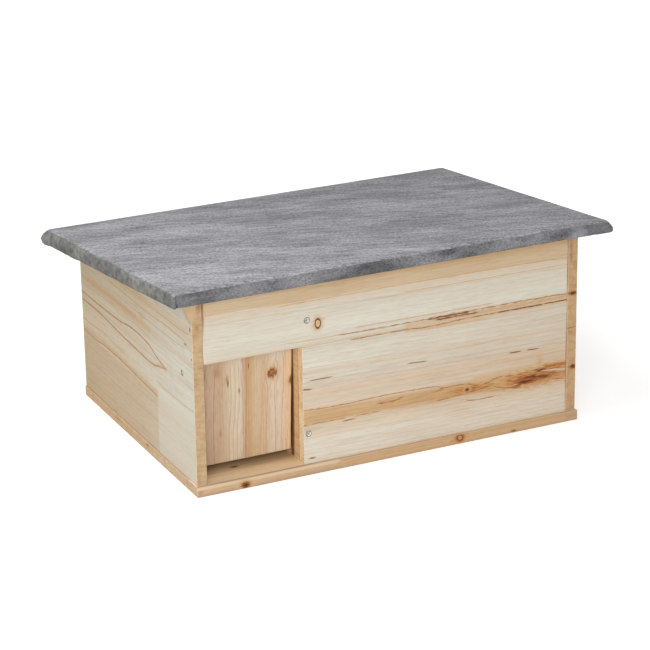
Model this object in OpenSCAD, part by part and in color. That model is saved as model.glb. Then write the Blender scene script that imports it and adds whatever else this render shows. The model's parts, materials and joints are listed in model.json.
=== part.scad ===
// Hedgehog house: a plank box with a labyrinth entrance, a swing flap and a felt-covered hinged roof.
// Millimetres. X runs to the right, Y to the back and Z up. The origin lies under the middle of the base.

/* [Base] */
// Width of the base board
base_w = 472; // [420:1:540]
// Depth of the base board
base_d = 336; // [300:1:400]
// Thickness of the base board
base_t = 12; // [9:0.5:18]
// How far the base shows beside each side wall
side_lip = 1.5; // [0:0.5:6]
// How far the base shows in front of the walls
front_lip = 4; // [0:0.5:10]
// Rounding along the front edges of the base, the front boards and the flap
ease_r = 1.5; // [0.5:0.25:3]

/* [Walls] */
// Thickness of the side, front and back boards
wall_t = 12; // [9:0.5:16]
// Height of the side walls at their front edge, above the base
wall_front_h = 213; // [190:1:260]
// Fall of the roof towards the back, in degrees
roof_pitch = 6; // [3:0.5:9]
// Thickness of the partition
partition_t = 12; // [9:0.5:16]
// Way round the back end of the partition into the sleeping chamber
passage_w = 115; // [100:1:140]
// Drop from the tops of the walls to the top of the partition
partition_drop = 2; // [1:0.5:6]

/* [Entrance] */
// Width of the entrance
opening_w = 115; // [100:1:140]
// Height of the entrance above the base
opening_h = 136; // [110:1:150]
// Thickness of the flap
flap_t = 12; // [9:0.5:15]
// Gap at each side of the flap
flap_side_gap = 2; // [1:0.25:4]
// Gap between the flap and the base
flap_floor_gap = 8; // [5:0.5:15]
// Height of the flap above its pivot
flap_rise = 15.5; // [13:0.5:20]
// Drop from the top of the entrance to the top of the flap
flap_head_gap = 1; // [0.5:0.5:4]
// Gap that the flap's top corner keeps from the upper front board as it turns
swing_gap = 1.6; // [1:0.1:4]
// Wood left between the pivot bore and the back face of the flap
pivot_cover = 1.2; // [1:0.1:2.5]
// Depth of each pivot bore in the flap
pivot_bore_l = 20; // [12:1:30]
// Gap between the tip of a pivot screw and the end of its bore
pivot_tip_gap = 2; // [1:0.5:4]

/* [Roof] */
// Thickness of the roof board
roof_t = 12; // [8:0.5:15]
// Overhang of the roof board past the side walls
roof_over_side = 28.5; // [20:0.5:45]
// Overhang of the roof board past the front, along the slope
roof_over_front = 21; // [16:1:60]
// Overhang of the roof board past the back, along the slope
roof_over_back = 35; // [30:1:50]
// Rounding of the roof board's edges
roof_edge_r = 4; // [2:0.25:5]
// Gap between the tops of the walls and the closed roof
roof_seat_gap = 0.1; // [0.05:0.05:0.5]
// Thickness of the felt
felt_t = 1.3; // [0.8:0.1:2.5]
// Bare strip under the roof between the walls and the turned-in felt
felt_bare = 6; // [2:0.5:10]
// Bare strip between a hinge leaf and the turned-in felt
felt_hinge_gap = 1; // [0.5:0.5:4]

/* [Hinges] */
// Length of a hinge along its pin
hinge_l = 40; // [30:1:60]
// Width of a leaf, from the pin's axis to its edge
leaf_w = 14; // [11:0.5:17]
// Thickness of a leaf
leaf_t = 1.2; // [0.9:0.1:1.6]
// Outer radius of the knuckles
knuckle_r = 3; // [2.6:0.1:3.6]
// Radius of the hinge pin
hinge_pin_r = 1.25; // [1:0.05:1.6]
// Length of each of the two outer knuckles
outer_knuckle_l = 10; // [8:0.5:13]
// Length of the head at each end of a hinge pin
pin_head_l = 0.8; // [0.5:0.1:1.5]
// Distance from the outer face of a side wall to the middle of its hinge
hinge_inset = 95; // [40:1:150]

/* [Fasteners] */
// Shank diameter of the wood screws
screw_d = 3.5; // [3:0.1:4.5]
// Head diameter of the wood screws
screw_head_d = 7; // [6:0.1:8.5]
// Length of the wood screws in the base and the front boards
screw_l = 35; // [28:1:45]
// Height of the upper partition screw above the top of the entrance
upper_screw_h = 30; // [15:1:45]
// Height of the lower partition screw above the base
lower_screw_h = 35; // [20:1:80]
// Shank diameter of the hinge screws
hinge_screw_d = 3; // [2.5:0.1:3.5]
// Distance between the two screws of a leaf
hinge_screw_pitch = 24; // [18:1:28]
// Diameter of the brad nails
brad_d = 1.4; // [1:0.1:2]
// Length of the brad nails
brad_l = 30; // [25:1:40]
// Distance from a board's edge to its first brad
brad_edge = 10; // [8:1:20]
// Distance between the two lower brads of a board
brad_pitch = 35; // [25:1:45]
// Shank diameter of the felt tacks
tack_d = 1.6; // [1.2:0.1:2]
// Head diameter of the felt tacks
tack_head_d = 6; // [4:0.5:8]
// Head thickness of the felt tacks
tack_head_t = 0.8; // [0.5:0.1:1]
// Greatest distance between neighbouring tacks
tack_pitch = 95; // [60:5:150]
// Wood left over the tip of what is driven into the roof from below
tip_cover = 2.5; // [1.5:0.5:4]

/* [Hidden] */
$fn = 48;
// Clearance round every shank, pin and head in its hole
fit = 0.05;
// Running gap between a knuckle and what lies beside it
knuckle_gap = 0.3;
// Overshoot of a cut past the face that it opens
past = 1;
// Flat that stays between the two roundings of a roof edge
edge_flat = 0.4;

// Walls
wall_half_w = base_w / 2 - side_lip;
inner_half_w = wall_half_w - wall_t;
wall_front = -base_d / 2 + front_lip;
wall_back = base_d / 2;
inner_front = wall_front + wall_t;
inner_back = wall_back - wall_t;
seam_z = base_t + opening_h;
partition_left = -inner_half_w + opening_w;
partition_mid = partition_left + partition_t / 2;
partition_back = inner_back - passage_w;

// Height of the walls' sloping tops at a depth, and of the closed roof board's underside
function wall_top(y) = base_t + wall_front_h - tan(roof_pitch) * (y - wall_front);
function roof_under(y) = wall_top(y) + roof_seat_gap / cos(roof_pitch);

// Middles of n equal steps from a to b
function steps(n, a, b) = [for (i = [0 : n - 1]) a + (b - a) * (i + 0.5) / n];

// Flap: hung at the pivot, it leans until its middle lies under the pivot
pivot_r = screw_d / 2;
pivot_inset = flap_t - pivot_cover - pivot_r - fit;
flap_corner_r = sqrt(flap_rise * flap_rise + pivot_inset * pivot_inset);
pivot_y = inner_front + flap_corner_r + swing_gap;
pivot_z = seam_z - flap_head_gap - flap_rise;
flap_drop = pivot_z - base_t - flap_floor_gap;
flap_w = opening_w - 2 * flap_side_gap;
flap_left = -inner_half_w + flap_side_gap;
flap_lean = atan2(pivot_inset - flap_t / 2, (flap_drop - flap_rise) / 2);
pivot_reach = flap_side_gap + pivot_bore_l - pivot_tip_gap;

// Roof, in its own frame: Y along the slope from the front of the walls, Z square to the board
wall_run = (wall_back - wall_front) / cos(roof_pitch);
roof_half_w = wall_half_w + roof_over_side;
roof_low = -roof_over_front;
roof_high = wall_run + roof_over_back;
edge_r = min(roof_edge_r, (roof_t - edge_flat) / 2);

// Hinges: the pin's axis is as far from the back wall as from the roof
hinge_offset = knuckle_r + knuckle_gap;
hinge_y = wall_back + hinge_offset;
hinge_z = roof_under(hinge_y) - hinge_offset / cos(roof_pitch);
hinge_x = wall_half_w - hinge_inset;
hinge_run = (hinge_y - wall_front) * cos(roof_pitch)
    - (hinge_z - roof_under(wall_front)) * sin(roof_pitch);
middle_knuckle_l = hinge_l - 2 * outer_knuckle_l - 2 * knuckle_gap;
pin_head_r = (hinge_pin_r + knuckle_r) / 2;
leaf_hole_w = (leaf_w + knuckle_r) / 2;
hinge_screw_head_d = hinge_screw_d + 2 * leaf_t;
hinge_screw_l = leaf_t + roof_t - tip_cover;

// Felt window under the roof, and the middles of the turned-in strips
window_half_w = wall_half_w + felt_bare;
window_low = -felt_bare;
window_high = hinge_run + leaf_w + felt_hinge_gap;
tack_x = (window_half_w + roof_half_w) / 2;
tack_low = (window_low + roof_low) / 2;
tack_high = (window_high + roof_high) / 2;
tack_l = roof_t - tip_cover;

// Colours
pine = [0.87, 0.76, 0.58];
amber = [0.82, 0.67, 0.46];
slate = [0.42, 0.43, 0.44];
steel = [0.72, 0.72, 0.70];

// Shared shapes

// What an eased edge loses, for a corner at the origin
module corner_cut(r) {
    difference() {
        translate([-past, -past]) square(r + past);
        translate([r, r]) circle(r);
    }
}

// Rectangle with four rounded corners
module rounded_profile(w, h, r) {
    difference() {
        square([w, h]);
        for (side = [0, 1], end = [0, 1])
            translate([side * w, end * h])
                mirror([side, 0]) mirror([0, end]) corner_cut(r);
    }
}

// Stands a profile drawn in Y and Z across X, from x0 for a length
module across(x0, length) {
    translate([x0, 0, 0]) rotate([90, 0, 90]) linear_extrude(length) children();
}

// Side view of what stands on z0 under the roof, from y0 to y1, with its top lowered by drop
module under_roof_profile(y0, y1, z0, drop = 0) {
    polygon([[y0, z0], [y1, z0], [y1, wall_top(y1) - drop], [y0, wall_top(y0) - drop]]);
}

// Slab whose edges are rounded all round
module rounded_slab(half_w, y0, y1, z0, z1, r) {
    intersection() {
        across(-half_w, 2 * half_w) translate([y0, z0]) rounded_profile(y1 - y0, z1 - z0, r);
        translate([-half_w, y1, z0]) rotate([90, 0, 0])
            linear_extrude(y1 - y0) rounded_profile(2 * half_w, z1 - z0, r);
    }
}

// Countersunk screw along +Z, its head flush with Z = 0
module screw(d, head_d, length) {
    r = d / 2;
    head_r = head_d / 2;
    rotate_extrude() polygon([[0, 0], [head_r, 0], [r, head_r - r], [r, length], [0, length]]);
}

// Hole for that screw, open above Z = 0
module screw_hole(d, head_d, length) {
    r = d / 2 + fit;
    head_r = head_d / 2 + fit;
    end = length + fit;
    rotate_extrude()
        polygon([[0, -past], [head_r, -past], [head_r, 0], [r, head_r - r], [r, end], [0, end]]);
}

module wood_screw(length = screw_l) {
    screw(screw_d, screw_head_d, length);
}

module wood_screw_hole(length = screw_l) {
    screw_hole(screw_d, screw_head_d, length);
}

// Places of the fasteners

// Two screws through the front boards into the partition
module at_partition_screws() {
    for (z = [seam_z + upper_screw_h, base_t + lower_screw_h])
        translate([partition_mid, wall_front, z]) rotate([-90, 0, 0]) children();
}

// Left pivot, turned into the flap from the outside of the left wall
module at_left_pivot() {
    translate([-wall_half_w, pivot_y, pivot_z]) rotate([0, 90, 0]) children();
}

// Right pivot, turned into the flap from the chamber side of the partition
module at_right_pivot() {
    translate([partition_left + partition_t, pivot_y, pivot_z]) rotate([0, -90, 0]) children();
}

// Screws up through the base into the bottom edges of the walls
module at_base_screws() {
    for (side = [-1, 1], y = steps(3, inner_front, inner_back))
        translate([side * (wall_half_w - wall_t / 2), y, 0]) children();
    for (x = steps(2, partition_left + partition_t, inner_half_w))
        translate([x, wall_front + wall_t / 2, 0]) children();
    for (x = steps(3, -inner_half_w, inner_half_w))
        translate([x, wall_back - wall_t / 2, 0]) children();
    for (y = steps(2, inner_front, partition_back))
        translate([partition_mid, y, 0]) children();
}

// Heights of the brads in the ends of a board that starts at z0
function brad_heights(z0) = [z0 + brad_edge, z0 + brad_edge + brad_pitch];

// Brads through one side wall into the ends of the front and back boards
module at_brads(side) {
    front = brad_heights(seam_z);
    lower = side > 0 ? brad_heights(base_t) : [];
    back = concat(brad_heights(base_t), [wall_top(wall_back) - brad_edge]);
    for (z = concat(front, lower))
        translate([side * wall_half_w, wall_front + wall_t / 2, z]) rotate([0, -90 * side, 0]) children();
    for (z = back)
        translate([side * wall_half_w, wall_back - wall_t / 2, z]) rotate([0, -90 * side, 0]) children();
}

module brads(side, clear = 0) {
    at_brads(side) cylinder(r = brad_d / 2 + clear, h = brad_l + clear);
}

// Roof's own frame, from its place on the walls
module on_roof() {
    translate([0, wall_front, roof_under(wall_front)]) rotate([-roof_pitch, 0, 0]) children();
}

// Tacks in the turned-in felt, one row along each edge
module at_tacks() {
    across_n = ceil(2 * tack_x / tack_pitch);
    along_n = ceil((tack_high - tack_low) / tack_pitch);
    for (y = [tack_low, tack_high], i = [0 : across_n])
        translate([-tack_x + 2 * tack_x * i / across_n, y, -felt_t]) children();
    for (side = [-1, 1], i = [1 : along_n - 1])
        translate([side * tack_x, tack_low + (tack_high - tack_low) * i / along_n, -felt_t]) children();
}

// Both screws of a leaf, on the back wall
module at_wall_leaf_screws(side) {
    for (dx = [-0.5, 0.5] * hinge_screw_pitch)
        translate([side * hinge_x + dx, wall_back + leaf_t, hinge_z - leaf_hole_w]) rotate([90, 0, 0]) children();
}

// Both screws of a leaf, under the roof and in the roof's frame
module at_roof_leaf_screws(side) {
    for (dx = [-0.5, 0.5] * hinge_screw_pitch)
        translate([side * hinge_x + dx, hinge_run + leaf_hole_w, -leaf_t]) children();
}

module hinge_screw() {
    screw(hinge_screw_d, hinge_screw_head_d, hinge_screw_l);
}

module hinge_screw_hole() {
    screw_hole(hinge_screw_d, hinge_screw_head_d, hinge_screw_l);
}

// Wooden boards

module base_board() {
    color(amber) difference() {
        across(-base_w / 2, base_w)
            translate([-base_d / 2, 0]) rounded_profile(base_d, base_t, ease_r);
        at_base_screws() wood_screw_hole();
    }
}

module side_wall(side) {
    outer = side > 0 ? inner_half_w : -wall_half_w;
    difference() {
        across(outer, wall_t) under_roof_profile(wall_front, wall_back, base_t);
        at_base_screws() wood_screw_hole();
        brads(side, fit);
    }
}

module left_wall() {
    color(pine) difference() {
        side_wall(-1);
        at_left_pivot() wood_screw_hole(wall_t + pivot_reach);
    }
}

module right_wall() {
    color(pine) side_wall(1);
}

module back_wall() {
    color(pine) difference() {
        across(-inner_half_w, 2 * inner_half_w) under_roof_profile(inner_back, wall_back, base_t);
        at_base_screws() wood_screw_hole();
        for (side = [-1, 1]) {
            brads(side, fit);
            at_wall_leaf_screws(side) hinge_screw_hole();
        }
    }
}

module front_upper_board() {
    color(pine) difference() {
        across(-inner_half_w, 2 * inner_half_w) difference() {
            under_roof_profile(wall_front, inner_front, seam_z);
            translate([wall_front, seam_z]) corner_cut(ease_r);
        }
        at_partition_screws() wood_screw_hole();
        for (side = [-1, 1]) brads(side, fit);
    }
}

module front_lower_board() {
    color(pine) difference() {
        across(partition_left, inner_half_w - partition_left) difference() {
            translate([wall_front, base_t]) square([wall_t, opening_h]);
            translate([wall_front, seam_z]) mirror([0, 1]) corner_cut(ease_r);
        }
        at_partition_screws() wood_screw_hole();
        at_base_screws() wood_screw_hole();
        brads(1, fit);
    }
}

module partition_wall() {
    color(amber) difference() {
        across(partition_left, partition_t)
            under_roof_profile(inner_front, partition_back, base_t, partition_drop);
        at_partition_screws() wood_screw_hole();
        at_base_screws() wood_screw_hole();
        at_right_pivot() wood_screw_hole(partition_t + pivot_reach);
    }
}

// Flap with a bore in each side edge
module entrance_flap() {
    color(pine) translate([flap_left, pivot_y, pivot_z]) rotate([flap_lean, 0, 0]) difference() {
        across(0, flap_w)
            translate([-pivot_inset, -flap_drop]) rounded_profile(flap_t, flap_drop + flap_rise, ease_r);
        for (x = [-past, flap_w - pivot_bore_l])
            translate([x, 0, 0]) rotate([0, 90, 0]) cylinder(r = pivot_r + fit, h = pivot_bore_l + past);
    }
}

module roof_board_shape() {
    rounded_slab(roof_half_w, roof_low, roof_high, 0, roof_t, edge_r);
}

module roof_board() {
    color(amber) on_roof() difference() {
        roof_board_shape();
        at_tacks() tack_shank(fit);
        for (side = [-1, 1]) at_roof_leaf_screws(side) hinge_screw_hole();
    }
}

// Felt

// Cover of the roof board, turned in under all four edges
module roof_felt() {
    color(slate) on_roof() difference() {
        rounded_slab(roof_half_w + felt_t, roof_low - felt_t, roof_high + felt_t,
                     -felt_t, roof_t + felt_t, edge_r + felt_t);
        roof_board_shape();
        translate([-window_half_w, window_low, -felt_t - past])
            cube([2 * window_half_w, window_high - window_low, felt_t + 2 * past]);
        at_tacks() tack_shank(fit);
    }
}

// Shank of a tack along +Z, from the face that its head presses on
module tack_shank(clear = 0) {
    cylinder(r = tack_d / 2 + clear, h = felt_t + tack_l + clear);
}

module felt_tacks() {
    color(steel) on_roof() at_tacks() {
        translate([0, 0, -tack_head_t]) cylinder(r = tack_head_d / 2, h = tack_head_t);
        tack_shank();
    }
}

// Hinges

// Barrel of a knuckle about the pin, from x0 for a length
module barrel(x0, length, r) {
    translate([x0, 0, 0]) rotate([0, 90, 0]) cylinder(r = r, h = length);
}

// The three stretches of the barrel
module outer_knuckles(r, clear = 0) {
    barrel(-hinge_l / 2 - clear, outer_knuckle_l + 2 * clear, r);
    barrel(hinge_l / 2 - outer_knuckle_l - clear, outer_knuckle_l + 2 * clear, r);
}

module middle_knuckle(r, clear = 0) {
    barrel(-middle_knuckle_l / 2 - clear, middle_knuckle_l + 2 * clear, r);
}

module pin_bore() {
    barrel(-hinge_l / 2 - past, hinge_l + 2 * past, hinge_pin_r + fit);
}

// Leaf screwed to the back wall, with the two outer knuckles
module hinge_wall_leaf(side) {
    color(steel) difference() {
        translate([side * hinge_x, hinge_y, hinge_z]) difference() {
            union() {
                translate([-hinge_l / 2, -hinge_offset, -leaf_w]) cube([hinge_l, leaf_t, leaf_w]);
                outer_knuckles(knuckle_r);
            }
            middle_knuckle(knuckle_r + knuckle_gap, knuckle_gap);
            pin_bore();
        }
        at_wall_leaf_screws(side) hinge_screw_hole();
    }
}

// Leaf screwed under the roof, with the middle knuckle
module hinge_roof_leaf(side) {
    color(steel) on_roof() difference() {
        translate([side * hinge_x, hinge_run, -hinge_offset]) difference() {
            union() {
                translate([-hinge_l / 2, 0, hinge_offset - leaf_t]) cube([hinge_l, leaf_w, leaf_t]);
                middle_knuckle(knuckle_r);
            }
            outer_knuckles(knuckle_r + knuckle_gap, knuckle_gap);
            pin_bore();
        }
        at_roof_leaf_screws(side) hinge_screw_hole();
    }
}

// Pin with a flat head at each end
module hinge_pin(side) {
    color(steel) translate([side * hinge_x, hinge_y, hinge_z]) {
        barrel(-hinge_l / 2, hinge_l, hinge_pin_r);
        barrel(-hinge_l / 2 - pin_head_l, pin_head_l, pin_head_r);
        barrel(hinge_l / 2, pin_head_l, pin_head_r);
    }
}

// Groups of fasteners

module partition_screws() {
    color(steel) at_partition_screws() wood_screw();
}

module flap_pivot_screws() {
    color(steel) {
        at_left_pivot() wood_screw(wall_t + pivot_reach);
        at_right_pivot() wood_screw(partition_t + pivot_reach);
    }
}

module base_screws() {
    color(steel) at_base_screws() wood_screw();
}

module hinge_wall_screws() {
    color(steel) for (side = [-1, 1]) at_wall_leaf_screws(side) hinge_screw();
}

module hinge_roof_screws() {
    color(steel) on_roof() for (side = [-1, 1]) at_roof_leaf_screws(side) hinge_screw();
}

base_board();
left_wall();
right_wall();
back_wall();
front_upper_board();
front_lower_board();
partition_wall();
entrance_flap();
roof_board();
roof_felt();
felt_tacks();
partition_screws();
flap_pivot_screws();
base_screws();
color(steel) brads(-1);  // left_wall_brads
color(steel) brads(1);  // right_wall_brads
hinge_wall_leaf(-1);  // left_hinge_wall_leaf
hinge_roof_leaf(-1);  // left_hinge_roof_leaf
hinge_pin(-1);  // left_hinge_pin
hinge_wall_leaf(1);  // right_hinge_wall_leaf
hinge_roof_leaf(1);  // right_hinge_roof_leaf
hinge_pin(1);  // right_hinge_pin
hinge_wall_screws();
hinge_roof_screws();
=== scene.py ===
import json
import math
from collections import namedtuple

import bmesh
import bpy
import numpy as np
from mathutils import Matrix, Vector, noise


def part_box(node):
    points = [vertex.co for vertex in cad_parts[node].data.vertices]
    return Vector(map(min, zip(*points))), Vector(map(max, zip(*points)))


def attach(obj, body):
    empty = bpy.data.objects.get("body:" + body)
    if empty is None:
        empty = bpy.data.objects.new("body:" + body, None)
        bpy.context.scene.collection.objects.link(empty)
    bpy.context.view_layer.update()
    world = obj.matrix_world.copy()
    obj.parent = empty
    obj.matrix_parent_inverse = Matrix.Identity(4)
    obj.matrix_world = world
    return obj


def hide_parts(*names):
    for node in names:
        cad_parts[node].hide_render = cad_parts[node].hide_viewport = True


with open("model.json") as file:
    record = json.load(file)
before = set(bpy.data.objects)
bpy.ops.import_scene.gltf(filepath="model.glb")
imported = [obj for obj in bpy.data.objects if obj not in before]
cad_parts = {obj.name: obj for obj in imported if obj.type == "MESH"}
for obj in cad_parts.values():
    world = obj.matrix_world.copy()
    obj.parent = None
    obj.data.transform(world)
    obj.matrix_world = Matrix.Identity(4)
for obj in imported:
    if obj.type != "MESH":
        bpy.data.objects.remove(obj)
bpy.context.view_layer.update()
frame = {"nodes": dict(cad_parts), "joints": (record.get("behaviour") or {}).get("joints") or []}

# Sizes are millimetres and meshes are metres
MM = 0.001
# How steeply the roof falls to the back
PITCH = math.radians(6)
X, Y, Z = 0, 1, 2


def box(node):
    """A solid node's lowest and highest corner, in millimetres."""
    low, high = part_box(node)
    return np.array(low) / MM, np.array(high) / MM


def placed(name, data):
    """A new object in the scene for some data."""
    thing = bpy.data.objects.new(name, data)
    bpy.context.scene.collection.objects.link(thing)
    return thing


def new_mesh(name, points, faces):
    """A mesh from points in millimetres."""
    mesh = bpy.data.meshes.new(name)
    mesh.from_pydata((np.asarray(points) * MM).tolist(), [], [list(face) for face in faces])
    return mesh


def tilted(points, angle):
    """Points turned about the X axis."""
    return points @ np.array(Matrix.Rotation(angle, 3, "X")).T


# Places that the boards' marks and the flap are set out from
FRONT = box("front_upper_board")[0][Y]
BASE_LOW, BASE_HIGH = box("base_board")
WALL_LOW, WALL_HIGH = box("left_wall")
PIVOT = np.array(next(j["pos_m"] for j in frame["joints"] if j["name"] == "flap_swing")) / MM


# Colours, as sRGB from 0 to 255
CREAM = (221, 217, 203)
PALE = (217, 210, 195)
PINK = (217, 202, 182)
BRIGHT = (224, 217, 203)
ROSE = (216, 194, 169)
SAND = (212, 197, 174)
BEIGE = (210, 198, 177)
WARM = (208, 185, 153)
AMBER = (205, 174, 134)
HONEYED = (201, 165, 120)
HONEY = (197, 155, 110)
FRESH = (250, 226, 190)
RUST = (176, 124, 80)
BARK = (140, 95, 60)
UMBER = (98, 60, 36)
LATE_WOOD = (218, 178, 138)
END_TAN = (200, 170, 130)
END_BROWN = (200, 168, 128)
END_OCHRE = (199, 173, 134)
END_PALE = (212, 188, 156)
STREAK_TINT = (226, 210, 186)
FIBRE_TINT = (220, 208, 188)
WORN_TINT = (228, 212, 184)
PORE_TINT = (206, 168, 126)
WHITE = (255, 255, 255)
FELT_TOP = (170, 169, 174)
FELT_FRONT = (158, 158, 160)
FELT_LEFT = (156, 156, 150)
FELT_DARK = (116, 115, 120)
FELT_LIGHT = (206, 205, 208)
# The darkest the felt's top is painted, as shade at its right back
FELT_SHADOWED = (242, 242, 242)
FELT_CLOUD = (184, 184, 184)
FELT_GRIT = (178, 178, 178)
ZINC = (222, 220, 213)
ZINC_DULL = (190, 188, 183)
ZINC_BRIGHT = (236, 234, 228)
# The dark of a screw head's recess, and of the painted shadow round the rims of some heads
ZINC_HOLLOW_AND_RIM_SHADOW = (112, 107, 104)


def linear(colour, alpha=1.0):
    """An sRGB colour as a linear one."""
    def channel(value):
        value /= 255
        return value / 12.92 if value <= 0.04045 else ((value + 0.055) / 1.055) ** 2.4
    return (*(channel(value) for value in colour), alpha)


# Camera and light

PICTURE_PX = 650
FOCAL_PX = 2505.66
SENSOR = 36
CAMERA_PLACE = (-1167.45, -2433.01, 1100.67)
CAMERA_AZIMUTH = math.radians(-25.602)
CAMERA_ELEVATION = math.radians(20.316)
CAMERA_ROLL = math.radians(-0.869)
# How far the camera sees, in metres
CLIP_END = 50
AMBIENT = 0.39
# A lamp's azimuth and elevation in degrees, its distance and size, and its power
Lamp = namedtuple("Lamp", "azimuth elevation away size watts")
LAMPS = {
    "key": Lamp(-28, 18, 2900, 1700, 42),
    "top": Lamp(-85, 66, 1050, 700, 4.4),
    "fill": Lamp(150, 8, 2900, 1500, 16),
}
FLOOR_HALF = 4000
FLOOR_CELLS = 16
# The floor's linear grey, and the light that lifts it to white from near to far
FLOOR_GREY = (0.9, 0.9, 0.9, 1)
FLOOR_ROUGHNESS = 0.9
FLOOR_NEAR = 350
FLOOR_FAR = 1200
LIFT_NEAR = 0.5
LIFT_FAR = 0.7


def toward(azimuth, elevation):
    """The direction from the object to a place round it: azimuth 0 is its front, and left is negative."""
    flat = math.cos(elevation)
    return Vector((math.sin(azimuth) * flat, -math.cos(azimuth) * flat, math.sin(elevation)))


def make_camera():
    """The camera at the photograph's viewing angle."""
    data = bpy.data.cameras.new("camera")
    data.sensor_width = SENSOR
    data.lens = SENSOR * FOCAL_PX / PICTURE_PX
    data.clip_end = CLIP_END
    back = toward(CAMERA_AZIMUTH, CAMERA_ELEVATION)
    turn = back.to_track_quat("Z", "Y").to_matrix() @ Matrix.Rotation(CAMERA_ROLL, 3, "Z")
    camera = placed("camera", data)
    camera.matrix_world = turn.to_4x4()
    camera.location = Vector(CAMERA_PLACE) * MM
    bpy.context.scene.camera = camera


def make_world():
    """Even white surroundings, full white where they are seen."""
    shader = Shader(bpy.data.worlds.new("studio"))
    shader.set("Color", linear(WHITE))
    shader.set("Strength", shader.span(shader.seen_directly(), 0.0, 1.0, AMBIENT, 1.0))
    bpy.context.scene.world = shader.owner


def make_lamps():
    """Large soft lamps that face the object."""
    for name, lamp in LAMPS.items():
        data = bpy.data.lights.new(name, "AREA")
        data.shape = "DISK"
        data.size = lamp.size * MM
        data.energy = lamp.watts
        light = placed(name, data)
        direction = toward(math.radians(lamp.azimuth), math.radians(lamp.elevation))
        light.location = direction * lamp.away * MM
        light.rotation_euler = direction.to_track_quat("Z", "Y").to_euler()


def make_floor():
    """A pale floor that keeps the object's shadow."""
    shader = Shader(bpy.data.materials.new("floor_white"))
    lift = shader.span(shader.vector("LENGTH", shader.place), FLOOR_NEAR, FLOOR_FAR, LIFT_NEAR, LIFT_FAR)
    shader.set("Emission Color", linear(WHITE))
    shader.set("Emission Strength", shader.math("MULTIPLY", shader.seen_directly(), lift))
    grid = bmesh.new()
    bmesh.ops.create_grid(grid, x_segments=FLOOR_CELLS, y_segments=FLOOR_CELLS, size=FLOOR_HALF * MM)
    mesh = bpy.data.meshes.new("floor")
    grid.to_mesh(mesh)
    grid.free()
    mesh.materials.append(shader.finish(FLOOR_GREY, FLOOR_ROUGHNESS, 0.0))
    placed("floor", mesh)


# Materials

# The attribute that says how far each point of a mesh takes its material's second colour
TONE = "tone"


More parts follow.
